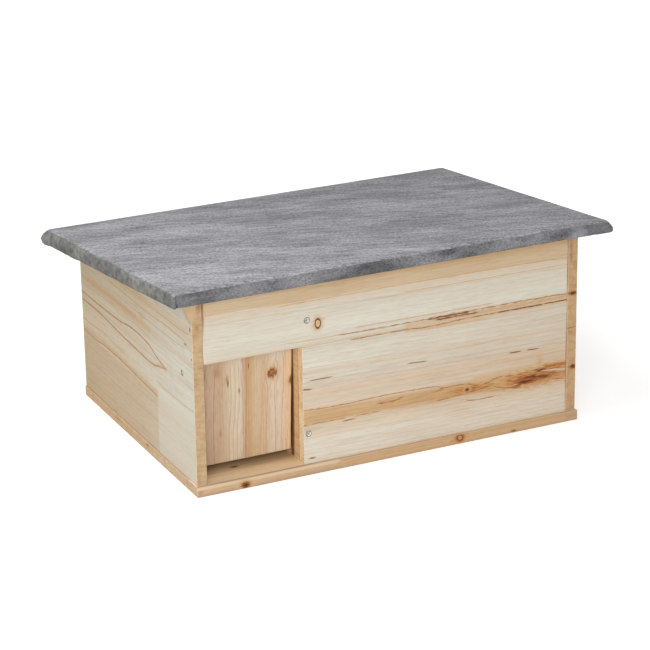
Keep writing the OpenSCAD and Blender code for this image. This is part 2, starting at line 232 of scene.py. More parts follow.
class Shader:
    """The nodes of a material or a world, and short calls that add to them. Places are millimetres."""

    def __init__(self, owner):
        owner.use_nodes = True
        self.owner = owner
        self.nodes = owner.node_tree.nodes
        self.links = owner.node_tree.links
        is_material = isinstance(owner, bpy.types.Material)
        self.surface = self.nodes["Principled BSDF" if is_material else "Background"]
        coords = self.nodes.new("ShaderNodeTexCoord").outputs
        self.place = self.vector("MULTIPLY", coords["Object"], (1 / MM, 1 / MM, 1 / MM))
        self.axis = self.split(self.place)
        self.normal = self.split(coords["Normal"])

    def feed(self, socket, value):
        if isinstance(value, bpy.types.NodeSocket):
            self.links.new(value, socket)
        else:
            socket.default_value = value

    def set(self, name, value):
        self.feed(self.surface.inputs[name], value)

    def add(self, kind, inputs, **settings):
        node = self.nodes.new("ShaderNode" + kind)
        for key, value in settings.items():
            setattr(node, key, value)
        for key, value in inputs.items():
            self.feed(node.inputs[key], value)
        return node

    def math(self, operation, *values):
        return self.add("Math", dict(enumerate(values)), operation=operation).outputs[0]

    def vector(self, operation, *values):
        node = self.add("VectorMath", dict(enumerate(values)), operation=operation)
        return node.outputs["Value" if operation == "LENGTH" else "Vector"]

    def split(self, vector):
        return self.add("SeparateXYZ", {0: vector}).outputs[:]

    def noise(self, cell, detail=2.0, centre=False, turn=0.0):
        """Noise with cells of the given size, turned about z: from 0 to 1, or centred on 0."""
        turned_place = self.add("VectorRotate", {"Vector": self.place, "Angle": turn}, rotation_type="Z_AXIS")
        scaled = self.vector("DIVIDE", turned_place.outputs[0], cell)
        value = self.add("TexNoise", {"Vector": scaled, "Scale": 1.0, "Detail": detail}).outputs["Fac"]
        return self.math("SUBTRACT", value, 0.5) if centre else value

    def span(self, value, low, high, to_low=0.0, to_high=1.0):
        """Value from low..high brought to to_low..to_high, held at the ends."""
        inputs = {"Value": value, "From Min": low, "From Max": high, "To Min": to_low, "To Max": to_high}
        return self.add("MapRange", inputs).outputs["Result"]

    def ramp(self, value, stops):
        """Colour and alpha along value, from stops of (value, colour) or (value, colour, alpha)."""
        low, high = stops[0][0], stops[-1][0]
        node = self.add("ValToRGB", {0: self.span(value, low, high)})
        elements = node.color_ramp.elements
        while len(elements) < len(stops):
            elements.new(0.5)
        for element, stop in zip(elements, stops):
            element.position = (stop[0] - low) / (high - low)
            element.color = linear(*stop[1:])
        return node.outputs

    def colours(self, value, stops):
        return self.ramp(value, stops)["Color"]

    def curve(self, value, points):
        """A smooth line through (value, result) points, in order of value."""
        starts, results = zip(*points)
        low, reach = min(results), max(max(results) - min(results), 0.001)
        node = self.add("FloatCurve", {"Value": self.span(value, starts[0], starts[-1])})
        line = node.mapping.curves[0].points
        for count, (start, result) in enumerate(points):
            part = (start - starts[0]) / (starts[-1] - starts[0]), (result - low) / reach
            if count in (0, len(points) - 1):
                line[0 if count == 0 else len(line) - 1].location = part
            else:
                line.new(*part)
        node.mapping.update()
        return self.span(node.outputs["Value"], 0.0, 1.0, low, low + reach)

    def blend(self, factor, under, over, mode="MIX"):
        node = self.add("Mix", {0: factor, 6: under, 7: over}, data_type="RGBA", blend_type=mode)
        return node.outputs[2]

    def tint(self, under, over, strength=1.0):
        return self.blend(strength, under, over, "MULTIPLY")

    def tone(self):
        return self.add("Attribute", {}, attribute_name=TONE).outputs["Fac"]

    def seen_directly(self):
        """1 for rays that show a background: camera, glossy and transmission rays."""
        path = self.nodes.new("ShaderNodeLightPath").outputs
        mirrored = self.math("MAXIMUM", path["Is Glossy Ray"], path["Is Transmission Ray"])
        return self.math("MAXIMUM", path["Is Camera Ray"], mirrored)

    def bump(self, height, distance, strength=0.6):
        node = self.add("Bump", {"Height": height, "Distance": distance * MM, "Strength": strength})
        self.set("Normal", node.outputs["Normal"])

    def finish(self, colour, roughness, specular):
        self.set("Base Color", colour)
        self.set("Roughness", roughness)
        self.set("Specular IOR Level", specular)
        return self.owner


# Wood

# A face that marks lie on: its axes along, across and into the wood, its place, and the marks' depth
Face = namedtuple("Face", "along across deep place depth")
FRONT_FACE = Face(X, Z, Y, FRONT, 40)
BASE_FACE = Face(X, Z, Y, BASE_LOW[Y], 6)
BASE_SIDE = Face(Y, Z, X, BASE_LOW[X], 6)
FLOOR_FACE = Face(X, Y, Z, BASE_HIGH[Z], 5)
LEFT_FACE = Face(Y, Z, X, WALL_LOW[X], 8)
FLAP_FACE = Face(Z, X, Y, PIVOT[Y], 40)
PARTITION_FACE = Face(Y, Z, X, box("partition_wall")[0][X], 8)

# How a board was sawn: the axes along and across its grain, the pith's place across and deep,
# the ring width, how strong the lines are, and how the rings lean and narrow along the board
Sawn = namedtuple("Sawn", "along across pith ring lines lean taper", defaults=(0.0, 0.0))

# A kind of mark is a ramp from its middle line outwards, in half widths, and how ragged it is
Kind = namedtuple("Kind", "stops ragged")
Mark = namedtuple("Mark", "kind half_along half_across points")

RING_KNOT = Kind([
    (0.0, (230, 196, 148), 0.95), (0.3, (200, 146, 96), 0.95), (0.45, (232, 200, 152), 0.95),
    (0.68, (222, 182, 130), 0.95), (0.8, UMBER, 1.0), (1.02, UMBER, 1.0), (1.15, RUST, 0.8),
    (1.4, HONEY, 0.5), (2.0, AMBER, 0.25), (2.8, AMBER, 0.0),
], 0.4)
DARK_KNOT = Kind([
    (0.0, (66, 36, 20), 1.0), (0.5, (92, 54, 30), 1.0), (0.8, (138, 88, 50), 0.95), (1.0, (120, 74, 42), 0.9),
    (1.2, RUST, 0.8), (1.6, HONEY, 0.65), (2.2, AMBER, 0.4), (3.2, AMBER, 0.0),
], 1.6)
TIGHT_KNOT = Kind([
    (0.0, (104, 60, 34), 1.0), (0.3, (136, 84, 48), 1.0), (0.5, (176, 122, 74), 1.0),
    (0.75, (150, 96, 56), 1.0), (0.95, (106, 62, 36), 1.0), (1.15, (160, 108, 66), 0.8), (1.5, HONEY, 0.6),
    (2.2, AMBER, 0.35), (3.2, AMBER, 0.0),
], 2.0)
EYE = Kind([
    (0.0, BARK, 0.9), (0.2, (206, 160, 110), 0.95), (0.5, (200, 150, 100), 0.95), (0.72, UMBER, 1.0),
    (0.95, BARK, 0.95), (1.2, RUST, 0.8), (1.8, HONEY, 0.6), (2.6, AMBER, 0.0),
], 0.7)
DASH = Kind([(0.0, UMBER, 0.95), (0.6, BARK, 0.9), (1.0, RUST, 0.5), (1.6, AMBER, 0.0)], 0.6)
THREAD = Kind([(0.0, BARK, 0.85), (0.5, RUST, 0.7), (1.0, HONEY, 0.4), (1.6, AMBER, 0.0)], 4.0)
FAINT = Kind([(0.0, (188, 142, 94), 0.75), (0.5, HONEY, 0.6), (1.0, AMBER, 0.35), (1.8, AMBER, 0.0)], 2.0)
VEIN = Kind([
    (0.0, (158, 106, 60), 0.9), (0.5, (176, 128, 82), 0.8), (1.0, HONEY, 0.4), (1.7, AMBER, 0.0),
], 1.0)
SPECKS = Kind([(0.0, UMBER, 0.9), (0.5, BARK, 0.8), (0.9, RUST, 0.5), (1.4, AMBER, 0.0)], 3.4)
STAIN = Kind([(0.0, AMBER, 0.8), (0.6, AMBER, 0.6), (1.0, AMBER, 0.25), (1.5, AMBER, 0.0)], 2.2)
SEAM = Kind([(0.0, HONEY, 0.6), (0.5, HONEYED, 0.5), (1.0, AMBER, 0.3), (1.5, AMBER, 0.0)], 3.4)
BURL = Kind([
    (0.0, (166, 96, 42), 0.95), (0.5, (184, 122, 66), 0.85), (0.95, (198, 144, 88), 0.6), (1.4, AMBER, 0.0),
], 2.4)
CORE = Kind([
    (0.0, (86, 36, 12), 1.0), (0.5, (110, 52, 20), 0.95), (0.85, (150, 84, 40), 0.85),
    (1.2, (182, 124, 70), 0.5), (1.6, AMBER, 0.0),
], 2.4)
# Painted shade: dark brown that stands in for the shadow in the narrow gap beside the flap
GAP_SHADE = Kind([
    (0.0, (96, 54, 26), 0.95), (0.8, (112, 66, 34), 0.9), (1.1, (160, 110, 68), 0.35), (1.35, AMBER, 0.0),
], 0.3)
LIGHT = Kind([(0.0, FRESH, 0.5), (0.7, FRESH, 0.35), (1.3, FRESH, 0.0)], 0.8)
BLEACHED = Kind([(0.0, CREAM, 0.8), (0.6, PALE, 0.6), (1.2, PALE, 0.0)], 0.6)
# Brownish patches: bruises on the boards, and painted shadow in the flap's top left corner
BRUISE_AND_SHADOW = Kind([(0.0, (150, 104, 74), 0.7), (0.5, (170, 128, 96), 0.55), (1.2, (190, 150, 116), 0.0)], 0.9)
WANE = Kind([
    (0.0, (224, 190, 144), 0.95), (0.8, (224, 190, 144), 0.9), (0.92, HONEY, 0.6), (1.05, AMBER, 0.0),
], 0.25)
PLANED = Kind([(0.0, CREAM, 0.4), (0.93, CREAM, 0.4), (1.0, CREAM, 0.0)], 0.06)
BENDING = (RING_KNOT, DARK_KNOT, TIGHT_KNOT)
# How far a stroke fades beyond its ends
STROKE_END = 5
# How far a knot pushes the grain aside, and where that starts and ends in the knot's half sizes
KNOT_PUSH = 0.8
KNOT_REACH = (0.6, 3.5)
# Late wood within a ring: where it starts, is full and ends, how sharp it is, and how faint a year can be
LATE_FROM = 0.4
LATE_FULL = 0.92
LATE_END = 0.95
LATE_SHARP = 2.5
FAINT_YEAR = 0.15
# Cells of the wood's noises, along and across the grain
STREAK_CELL = (45, 1.5)
FIBRE_CELL = (12, 0.6)
ROUGH_CELL = (8, 1.1)
DRIFT_CELL = (280, 70)
CLOUD_CELL = (130, 14)
# Where most values of a noise lie
MOST = (0.3, 0.7)
# How strong the streaks are beside the year rings, and how strong the fibres and the clouds are
STREAK_SHARE = 1.25
FIBRES = 0.45
CLOUDS = 0.14
# How far the streaks shift the colour bands, and how pale the edges are worn
BAND_JITTER = 1.5
EDGE_WEAR = 0.25
# How far a surface has to turn to show marks, or end grain
MARK_FACING = (0.5, 0.8)
END_FACING = (0.6, 0.9)
WOOD_BUMP = 0.2
WOOD_ROUGHNESS = (0.58, 0.74)
WOOD_SPECULAR = 0.25
BLOTCH_CELL = (8, 8, 8)
PORE_CELL = (1.2, 1.2, 1.2)


def spot(kind, along, across, half_along, half_across):
    """A mark round one place on a face."""
    return Mark(kind, half_along, half_across, [(along, across)])


def stroke(kind, half_across, *points):
    """A mark along a line through places on a face."""
    return Mark(kind, STROKE_END, half_across, points)


def mark_distance(shader, face, mark, rough):
    """Distance from a mark's middle line in its own half sizes, ragged along the grain."""
    along, across, deep = (shader.axis[axis] for axis in face[:3])
    first, last = mark.points[0][0], mark.points[-1][0]
    before, after = shader.math("SUBTRACT", first, along), shader.math("SUBTRACT", along, last)
    beyond = shader.math("MAXIMUM", before, after)
    line = shader.curve(along, mark.points) if len(mark.points) > 1 else mark.points[0][1]
    away = shader.add("CombineXYZ", {
        0: shader.math("DIVIDE", shader.math("MAXIMUM", beyond, 0.0), mark.half_along),
        1: shader.math("DIVIDE", shader.math("SUBTRACT", across, line), mark.half_across),
        2: shader.math("DIVIDE", shader.math("SUBTRACT", deep, face.place), face.depth),
    }).outputs[0]
    ragged = shader.math("MULTIPLY", rough, mark.kind.ragged)
    return shader.math("ADD", shader.vector("LENGTH", away), ragged)


def bent_round_knots(shader, sawn, across, faces, rough):
    """Grain lines pushed aside by each knot."""
    for face, marks in faces.items():
        for mark in marks:
            if mark.kind in BENDING and face.across == sawn.across:
                near = shader.span(mark_distance(shader, face, mark, rough), *KNOT_REACH, KNOT_PUSH, 0.0)
                aside = shader.math("SUBTRACT", across, mark.points[0][1])
                across = shader.math("SUBTRACT", across, shader.math("MULTIPLY", aside, near))
    return across


def growth_lines(shader, sawn, along, across, deep):
    """Late wood of the year rings, as values from 0 to 1, and the count of rings."""
    across = shader.math("ADD", across, shader.math("MULTIPLY", along, sawn.lean))
    squares = [
        shader.math("POWER", shader.math("SUBTRACT", value, middle), 2.0)
        for value, middle in zip((across, deep), sawn.pith)
    ]
    radius = shader.math("SQRT", shader.math("ADD", *squares))
    radius = shader.math("ADD", radius, shader.math("MULTIPLY", along, sawn.taper))
    count = shader.math("DIVIDE", radius, sawn.ring)
    phase = shader.math("FRACT", count)
    rise, fall = shader.span(phase, LATE_FROM, LATE_FULL), shader.span(phase, 1.0, LATE_END)
    late = shader.math("POWER", shader.math("MULTIPLY", rise, fall), LATE_SHARP)
    chance = shader.add("TexWhiteNoise", {"W": shader.math("FLOOR", count)}, noise_dimensions="1D")
    year = shader.span(chance.outputs["Value"], 0.1, 1.0, FAINT_YEAR, 1.0)
    return shader.math("MULTIPLY", late, year), count


def marked(shader, colour, face, marks, rough, facing):
    """A colour with a face's marks laid over it, as far as the surface faces that way."""
    for mark in marks:
        shades = shader.ramp(mark_distance(shader, face, mark, rough), mark.kind.stops)
        colour = shader.blend(shader.math("MULTIPLY", shades["Alpha"], facing), colour, shades["Color"])
    return colour


def wood(name, sawn, bands, fade=None, faces=None, end=END_TAN, sway=4.0):
    """Pine, solid through: colour bands across the board, year rings, fibres, end grain, knots and marks."""
    shader = Shader(bpy.data.materials.new(name))
    faces = faces or {}

    def grain_noise(cell, detail=3.0, centre=False):
        long, short = cell
        return shader.noise([long if axis == sawn.along else short for axis in (X, Y, Z)], detail, centre)

    deep_axis = 3 - sawn.along - sawn.across
    along, across, deep = (shader.axis[axis] for axis in (sawn.along, sawn.across, deep_axis))
    streak = grain_noise(STREAK_CELL)
    fibre = grain_noise(FIBRE_CELL)
    rough = grain_noise(ROUGH_CELL, 4.0, centre=True)
    drift = shader.math("MULTIPLY", grain_noise(DRIFT_CELL, 2.0, centre=True), sway)
    bent = bent_round_knots(shader, sawn, shader.math("ADD", across, drift), faces, rough)
    late, count = growth_lines(shader, sawn, along, bent, deep)
    jitter = shader.span(streak, *MOST, -BAND_JITTER, BAND_JITTER)
    shift = shader.math("ADD", shader.math("MULTIPLY", along, sawn.lean), jitter)
    colour = shader.colours(shader.math("ADD", bent, shift), bands)
    if fade:
        colour = shader.tint(colour, shader.colours(along, fade))
    for value, high, strength, tint in (
        (grain_noise(CLOUD_CELL), 0.72, CLOUDS, AMBER),
        (streak, 0.72, STREAK_SHARE * sawn.lines, STREAK_TINT),
        (fibre, 0.75, FIBRES, FIBRE_TINT),
    ):
        colour = shader.tint(colour, linear(tint), shader.span(value, 0.48, high, 0.0, strength))
    colour = shader.tint(colour, linear(LATE_WOOD), shader.math("MULTIPLY", late, sawn.lines))
    colour = end_grain(shader, colour, sawn.along, count, end)
    for face, marks in faces.items():
        facing = shader.span(shader.math("ABSOLUTE", shader.normal[face.deep]), *MARK_FACING)
        colour = marked(shader, colour, face, marks, rough, facing)
    worn = shader.math("MULTIPLY", shader.tone(), EDGE_WEAR)
    colour = shader.blend(worn, colour, linear(WORN_TINT))
    shader.bump(shader.math("ADD", shader.math("MULTIPLY", late, 0.5), fibre), WOOD_BUMP)
    return shader.finish(colour, shader.span(fibre, *MOST, *WOOD_ROUGHNESS), WOOD_SPECULAR)


def end_grain(shader, colour, grain, count, end):
    """Browner sawn ends, with faint rings and open pores."""
    facing = shader.math("ABSOLUTE", shader.normal[grain])
    shade = shader.span(shader.math("FRACT", count), LATE_FROM, LATE_END, 0.0, 0.12)
    for cell, low, strength in ((BLOTCH_CELL, 0.4, 0.35), (PORE_CELL, 0.45, 0.3)):
        shade = shader.math("ADD", shade, shader.span(shader.noise(cell, 3.0), low, 0.7, 0.0, strength))
    ends = shader.tint(linear(end), linear(PORE_TINT), shade)
    return shader.blend(shader.span(facing, *END_FACING), colour, ends)


UPPER_SAWN = Sawn(X, Z, pith=(-160, 40), ring=4.3, lines=0.17, lean=0.012)
UPPER_BANDS = [
    (147, SAND), (151, PALE), (158, PALE), (164, CREAM), (182, PALE), (188, PALE), (189.5, SAND), (191, PALE),
    (195, (215, 201, 181)), (199, PINK), (200, WARM), (212, WARM), (217, AMBER), (228, AMBER),
]
UPPER_FADE = [(-222, (252, 251, 249)), (0, WHITE), (222, (255, 253, 250))]
UPPER_MARKS = {FRONT_FACE: [
    spot(STAIN, -93, 170.4, 3.5, 1.6),
    spot(STAIN, -83, 177, 3.5, 1.4),
    spot(RING_KNOT, -88.7, 172.5, 3.3, 5.3),
    stroke(SEAM, 4.0, (20, 151), (222, 151)),
    stroke(SEAM, 3.4, (60, 151.4), (222, 151.2)),
    stroke(FAINT, 0.4, (-122, 155.4), (-60, 155.0)),
    stroke(THREAD, 0.8, (-60, 155), (-26, 154.3), (60, 154.4), (140, 155), (222, 153.7)),
    stroke(SPECKS, 1.4, (48, 154.2), (92, 154)),
    stroke(SPECKS, 1.1, (58, 151.6), (104, 151.4)),
    stroke(FAINT, 0.7, (-40, 160), (120, 159)),
    stroke(FAINT, 0.6, (-130, 199.2), (60, 199.5), (222, 196)),
    stroke(FAINT, 0.5, (20, 190.5), (222, 189)),
    spot(DASH, -222.3, 208, 1.9, 24),
    spot(DASH, 222.3, 186, 1.4, 40),
]}
LOWER_SAWN = Sawn(X, Z, pith=(330, 40), ring=3.9, lines=0.28, lean=0.014)
LOWER_BANDS = [
    (12, BRIGHT), (36, BRIGHT), (44, (223, 209, 189)), (52, PINK), (56, ROSE), (57.5, AMBER),
    (62, (207, 172, 127)), (71, (209, 179, 139)), (73.5, ROSE), (76, PINK), (80, (217, 203, 182)), (84, PINK),
    (90, (217, 198, 174)), (97, PINK), (103, PALE), (112, PALE), (118, PINK), (121, CREAM), (134, CREAM),
    (139, PALE), (148, PALE),
]
LOWER_FADE = [(-110, WHITE), (20, (253, 251, 249)), (222, (250, 243, 237))]
LOWER_MARKS = {FRONT_FACE: [
    stroke(DASH, 0.6, (-95, 108.4), (-78, 108.4)),
    stroke(DASH, 0.9, (-106, 99.1), (-102, 98.5)),
    stroke(DASH, 0.6, (24, 106.5), (38, 105.7)),
    stroke(DASH, 0.9, (152, 95.8), (158, 95.6)),
    stroke(DASH, 0.8, (175, 95.3), (181, 94.9)),
    spot(DASH, -97.7, 17.8, 4, 1.0),
    spot(DARK_KNOT, -109.3, 67.3, 1.6, 1.7),
    stroke(THREAD, 0.7, (-107, 57.6), (-62, 57.3)),
    stroke(DASH, 0.6, (-56, 53.9), (-51, 54.1)),
    stroke(THREAD, 0.7, (-41, 57), (-17, 57)),
    stroke(THREAD, 1.2, (-15, 66.8), (-1, 66.1), (10, 68)),
    stroke(THREAD, 0.7, (54, 67.3), (62, 67.6)),
    stroke(THREAD, 0.6, (-105, 74.8), (-60, 73.6), (-2, 74.6), (60, 71)),
    stroke(STAIN, 5.0, (105, 72), (220, 74)),
    spot(BURL, 182, 61, 54, 11),
    spot(BURL, 176, 62, 36, 7),
    spot(SEAM, 187, 78, 5, 10),
    spot(BURL, 100, 62, 30, 5),
    stroke(BURL, 3.5, (195, 71), (223, 70.5)),
    spot(CORE, 180, 60.5, 26, 4.6),
    spot(CORE, 170, 57.5, 14, 2.6),
    spot(CORE, 158, 53.8, 7, 1.8),
    spot(CORE, 188, 68, 7, 2.4),
    spot(DARK_KNOT, 94, 62, 2.2, 1.6),
    stroke(THREAD, 0.9, (60, 68.8), (78, 69.7), (94, 68.9), (112, 64.6), (138, 69.7), (151, 68.1), (184, 70)),
    stroke(THREAD, 0.9, (94, 58.1), (120, 61), (132, 58.3), (142, 55.2), (158, 53.4)),
    stroke(THREAD, 0.7, (60, 56), (83, 57.6), (114, 59.5)),
    stroke(THREAD, 0.6, (92, 51.2), (107, 47.4), (127, 47.6)),
    stroke(BLEACHED, 0.7, (193, 66.8), (205, 65.6), (218, 64)),
    stroke(THREAD, 0.8, (190, 65.8), (206, 67.3), (223, 66.8)),
    stroke(THREAD, 0.8, (188, 63), (206, 61.8), (223, 60)),
    stroke(THREAD, 0.7, (201, 56), (223, 51.5)),
    stroke(STAIN, 3.0, (20, 146), (222, 146.5)),
    stroke(THREAD, 0.9, (-45, 146.8), (15, 147), (44, 145.2), (95, 147), (222, 147)),
    stroke(SPECKS, 1.1, (135, 147), (186, 146.6)),
    stroke(DASH, 0.7, (196, 147), (222, 147)),
    stroke(STAIN, 1.6, (45, 143), (115, 142.5)),
    spot(DASH, 222.3, 80, 1.4, 70),
]}
LEFT_SAWN = Sawn(Y, Z, pith=(-330, WALL_LOW[X] - 60), ring=6.1, lines=0.26)
LEFT_BANDS = [
    (2, BEIGE), (76, BEIGE), (84, PALE), (96, CREAM), (112, CREAM), (124, PALE), (134, CREAM), (144, CREAM),
    (150, PINK), (157, CREAM), (164, CREAM), (172, (224, 214, 194)), (182, (226, 210, 182)), (200, CREAM),
    (226, (224, 206, 176)),
]
LEFT_FADE = [(-164, WHITE), (-80, (253, 251, 247)), (0, (246, 237, 224)), (168, (240, 226, 206))]
LEFT_MARKS = {LEFT_FACE: [
    stroke(PLANED, 50, (-172, 44), (-64, 44)),
    stroke(STAIN, 3.6, (-42, 151), (22, 153.6), (61, 154.2), (141, 153.3)),
    stroke(VEIN, 1.1, (-84, 120), (-62, 125.5), (-24, 134.5), (8, 135.6), (47, 132), (103, 131), (168, 131)),
    stroke(VEIN, 1.1, (-84, 120), (-64, 116), (-43, 113), (-10, 114), (37, 116), (93, 120), (139, 121.6),
           (168, 120.5)),
    spot(STAIN, -72, 119, 10, 2),
    stroke(SEAM, 3.2, (0, 152.4), (150, 151.4)),
    stroke(FAINT, 0.8, (40, 95.7), (67, 97.4), (95, 100), (125, 98.4), (168, 98)),
    stroke(SEAM, 3.4, (-56, 81), (14, 85), (97, 87.5), (168, 86)),
    stroke(VEIN, 0.8, (-56, 79), (14, 82.8), (35, 84), (97, 85), (126, 83.2), (168, 83.6)),
    stroke(FAINT, 0.7, (-150, 168), (-100, 172), (-49, 170), (4, 170), (70, 171)),
    stroke(FAINT, 0.6, (-159, 97), (-114, 95.4), (-62, 96)),
    stroke(FAINT, 0.6, (-140, 163), (-30, 161), (60, 163)),
    stroke(FAINT, 0.6, (-150, 182), (-40, 180), (60, 181)),
    stroke(FAINT, 0.6, (-40, 142), (60, 144), (168, 143)),
    spot(STAIN, -20, 160, 9, 4),
    spot(DASH, -159, 189, 1.6, 3.0),
    spot(DASH, -161, 156, 1.4, 1.4),
    spot(DASH, -145, 168, 3.5, 0.8),
    spot(WANE, -164, 225, 30, 31),
]}
FLAP_SAWN = Sawn(Z, X, pith=(-330, -100), ring=3.3, lines=0.35, lean=0.01)
FLAP_BANDS = [
    (-222, (208, 180, 152)), (-206, (198, 172, 147)), (-196, (193, 167, 141)), (-188, (204, 182, 156)),
    (-180, (213, 199, 177)), (-171, (216, 204, 182)), (-167, (204, 178, 154)), (-164, (199, 170, 146)),
    (-161, (198, 160, 122)), (-157, (204, 170, 128)), (-153, WARM), (-140, (210, 184, 156)), (-131, PINK),
    (-119, PINK), (-114, (228, 200, 166)), (-108, (226, 196, 158)),
]
FLAP_MARKS = {FLAP_FACE: [
    spot(TIGHT_KNOT, 115.6, -133, 4.8, 4.4),
    spot(DARK_KNOT, 103, -109.5, 4.2, 2.6),
    spot(BRUISE_AND_SHADOW, 118, -186, 6, 2.6),
    spot(DASH, 113, -185, 5, 1.0),
    spot(DASH, 102, -172, 3.5, 1.1),
    spot(DASH, 129, -161, 4, 0.8),
    # Painted shadow in the flap's top left corner, under the upper board and beside the left wall
    spot(BRUISE_AND_SHADOW, 128, -198, 9, 6),
    spot(BRUISE_AND_SHADOW, 127, -214, 9, 5),
    spot(BRUISE_AND_SHADOW, 55, -194, 8, 2),
    stroke(VEIN, 0.5, (15, -201), (70, -202), (130, -199)),
    stroke(FAINT, 0.6, (15, -194), (60, -195.5), (100, -193), (130, -194)),
    *(
        stroke(FAINT, half, (15, place), (50, place - 1), (85, place + 1.5), (130, place + 0.5))
        for place, half in ((-183, 0.6), (-178, 0.5), (-173.5, 0.5))
    ),
    stroke(VEIN, 0.5, (15, -164), (130, -163.5)),
    stroke(FAINT, 0.6, (15, -147), (60, -146), (100, -144), (118, -141.5), (130, -143)),
    stroke(FAINT, 0.6, (15, -140), (60, -139.5), (96, -138), (112, -140.5), (130, -138)),
    stroke(FAINT, 0.6, (15, -128), (60, -128.5), (96, -130), (112, -126.5), (130, -129)),
    stroke(FAINT, 0.5, (15, -120), (60, -121), (110, -119.5), (130, -120)),
]}
BASE_SAWN = Sawn(X, Y, pith=(-110, -70), ring=4.4, lines=0.35)
BASE_BANDS = [
    (-168, (190, 160, 132)), (-166, (190, 160, 132)), (-164.5, FRESH), (-152, FRESH), (-132, AMBER),
    (168, AMBER),
]
BASE_MARKS = {
    BASE_FACE: [
        stroke(STAIN, 2.6, (-225, 5.5), (-60, 6)),
        stroke(STAIN, 5.5, (-60, 7.5), (215, 6.5)),
        stroke(LIGHT, 2.2, (-236, 10), (-70, 10)),
        stroke(SEAM, 2.6, (-60, 10), (70, 10), (236, 10.5)),
        stroke(SEAM, 2.4, (-40, 2.2), (236, 2.2)),
        stroke(FAINT, 0.9, (-60, 5), (0, 7), (60, 6.5)),
        stroke(FAINT, 0.8, (95, 7), (160, 8.5), (230, 8)),
        spot(DARK_KNOT, -179.3, 4.4, 4.4, 3.0),
        spot(BURL, 82, 7.4, 10, 6),
        spot(EYE, 83.1, 7.6, 4.4, 4.0),
        spot(DASH, 152, 2.6, 4, 1.3),
    ],
    BASE_SIDE: [
        stroke(SEAM, 4.0, (-40, 6.5), (168, 6.5)),
        spot(BRUISE_AND_SHADOW, 60, 8, 16, 1.6),
        spot(DASH, -27, 9, 4, 1.2),
    ],
    # A painted shadow on the floor under the flap's left part
    FLOOR_FACE: [spot(DASH, -178, -134, 5, 2.5)],
}
RIGHT_MARKS = {FRONT_FACE: [
    spot(BRUISE_AND_SHADOW, 225.5, 210, 3.6, 9),
    spot(BRUISE_AND_SHADOW, 226, 198, 3.0, 10),
    spot(CORE, 229, 153.5, 6, 2.2),
    spot(CORE, 231, 65, 5, 3.0),
    stroke(THREAD, 0.8, (223, 112), (234, 113)),
]}
STRIP_MARKS = {FRONT_FACE: [
    spot(BRUISE_AND_SHADOW, -229, 192, 4, 5),
    spot(BRUISE_AND_SHADOW, -226, 214, 5, 8),
]}
PLAIN_BANDS = [
    (-240, ROSE), (-160, PINK), (-60, PALE), (20, PINK), (60, ROSE), (110, PINK), (170, PALE), (240, SAND),
]
PARTITION_MARKS = {PARTITION_FACE: [
    # Painted shade on the partition's face, in the gap beside the flap's edge
    spot(GAP_SHADE, -134.5, 78, 5.5, 90),
    spot(DASH, -152, 75, 0.9, 75),
]}
PARTITION_BANDS = [(12, (228, 196, 152)), (80, (226, 190, 142)), (140, (230, 198, 154)), (226, FRESH)]
RIGHT_SAWN = Sawn(Y, Z, pith=(70, -WALL_LOW[X] - 26), ring=9.0, lines=0.5, lean=-0.03, taper=0.012)
BACK_SAWN = Sawn(X, Z, pith=(130, WALL_HIGH[Y] - 32), ring=9.5, lines=0.5, lean=0.02, taper=0.014)
PARTITION_SAWN = Sawn(Y, Z, pith=(40, -60), ring=6.0, lines=0.4)
ROOF_SAWN = Sawn(X, Y, pith=(40, 320), ring=6.5, lines=0.5)


def make_woods():
    """One pine material for each board, by node."""
    left_marks = {**LEFT_MARKS, **STRIP_MARKS}
    lower = (LOWER_SAWN, LOWER_BANDS, LOWER_FADE, LOWER_MARKS, FRESH)
    return {
        "front_upper_board": wood("pine_front_upper", UPPER_SAWN, UPPER_BANDS, UPPER_FADE, UPPER_MARKS),
        "front_lower_board": wood("pine_front_lower", *lower),
        "left_wall": wood("pine_left_wall", LEFT_SAWN, LEFT_BANDS, LEFT_FADE, left_marks, END_OCHRE),
        "right_wall": wood("pine_right_wall", RIGHT_SAWN, PLAIN_BANDS, None, RIGHT_MARKS, END_BROWN),
        "back_wall": wood("pine_back_wall", BACK_SAWN, PLAIN_BANDS),
        "partition_wall": wood("pine_partition", PARTITION_SAWN, PARTITION_BANDS, None, PARTITION_MARKS),
        "entrance_flap": wood("pine_flap", FLAP_SAWN, FLAP_BANDS, None, FLAP_MARKS, sway=3.0),
        "base_board": wood("pine_base", BASE_SAWN, BASE_BANDS, None, BASE_MARKS, END_PALE),
        "roof_board": wood("pine_roof", ROOF_SAWN, PLAIN_BANDS),
    }


# The felt's streaks are turned from the roof's length by this angle
FELT_TURN = math.radians(24)
# Cells of the felt's noises
FELT_CELLS = {
    "long streak": (40, 2.6, 2.6), "short streak": (3, 2.4, 2.4), "cloud": (90, 40, 40), "rib": (4, 8, 7),
    "speck": (3.0, 3.0, 1.6), "patch": (38, 38, 14), "ragged": (5, 5, 5), "grit": (1.5, 1.0, 1.0),
}
# The felt's top is painted darker to the right and to the back, between these places: painted shade where
# less light falls
FELT_SHADOW_SPAN = {X: (-264, 264), Y: (0, 205)}
# How far the felt has to turn to count as its left side, or as bent down
LEFT_FACING = (-0.3, -0.8)
DOWN_FACING = (0.9, 0.78)
FELT_BUMP = 0.5
FELT_ROUGHNESS = (0.8, 0.95)
FELT_SPECULAR = 0.2
FELT_RIBS = [(0.3, (182, 182, 182)), (0.5, (228, 228, 228)), (0.68, WHITE)]
FELT_SPECKS = [(0.3, (184, 184, 184)), (0.5, (230, 230, 230)), (0.68, WHITE)]
FELT_PATCHES = [(0.36, (188, 188, 186)), (0.5, (236, 236, 236)), (0.6, WHITE)]
FELT_FACE = Face(X, Z, Y, box("roof_felt")[0][Y], 25)
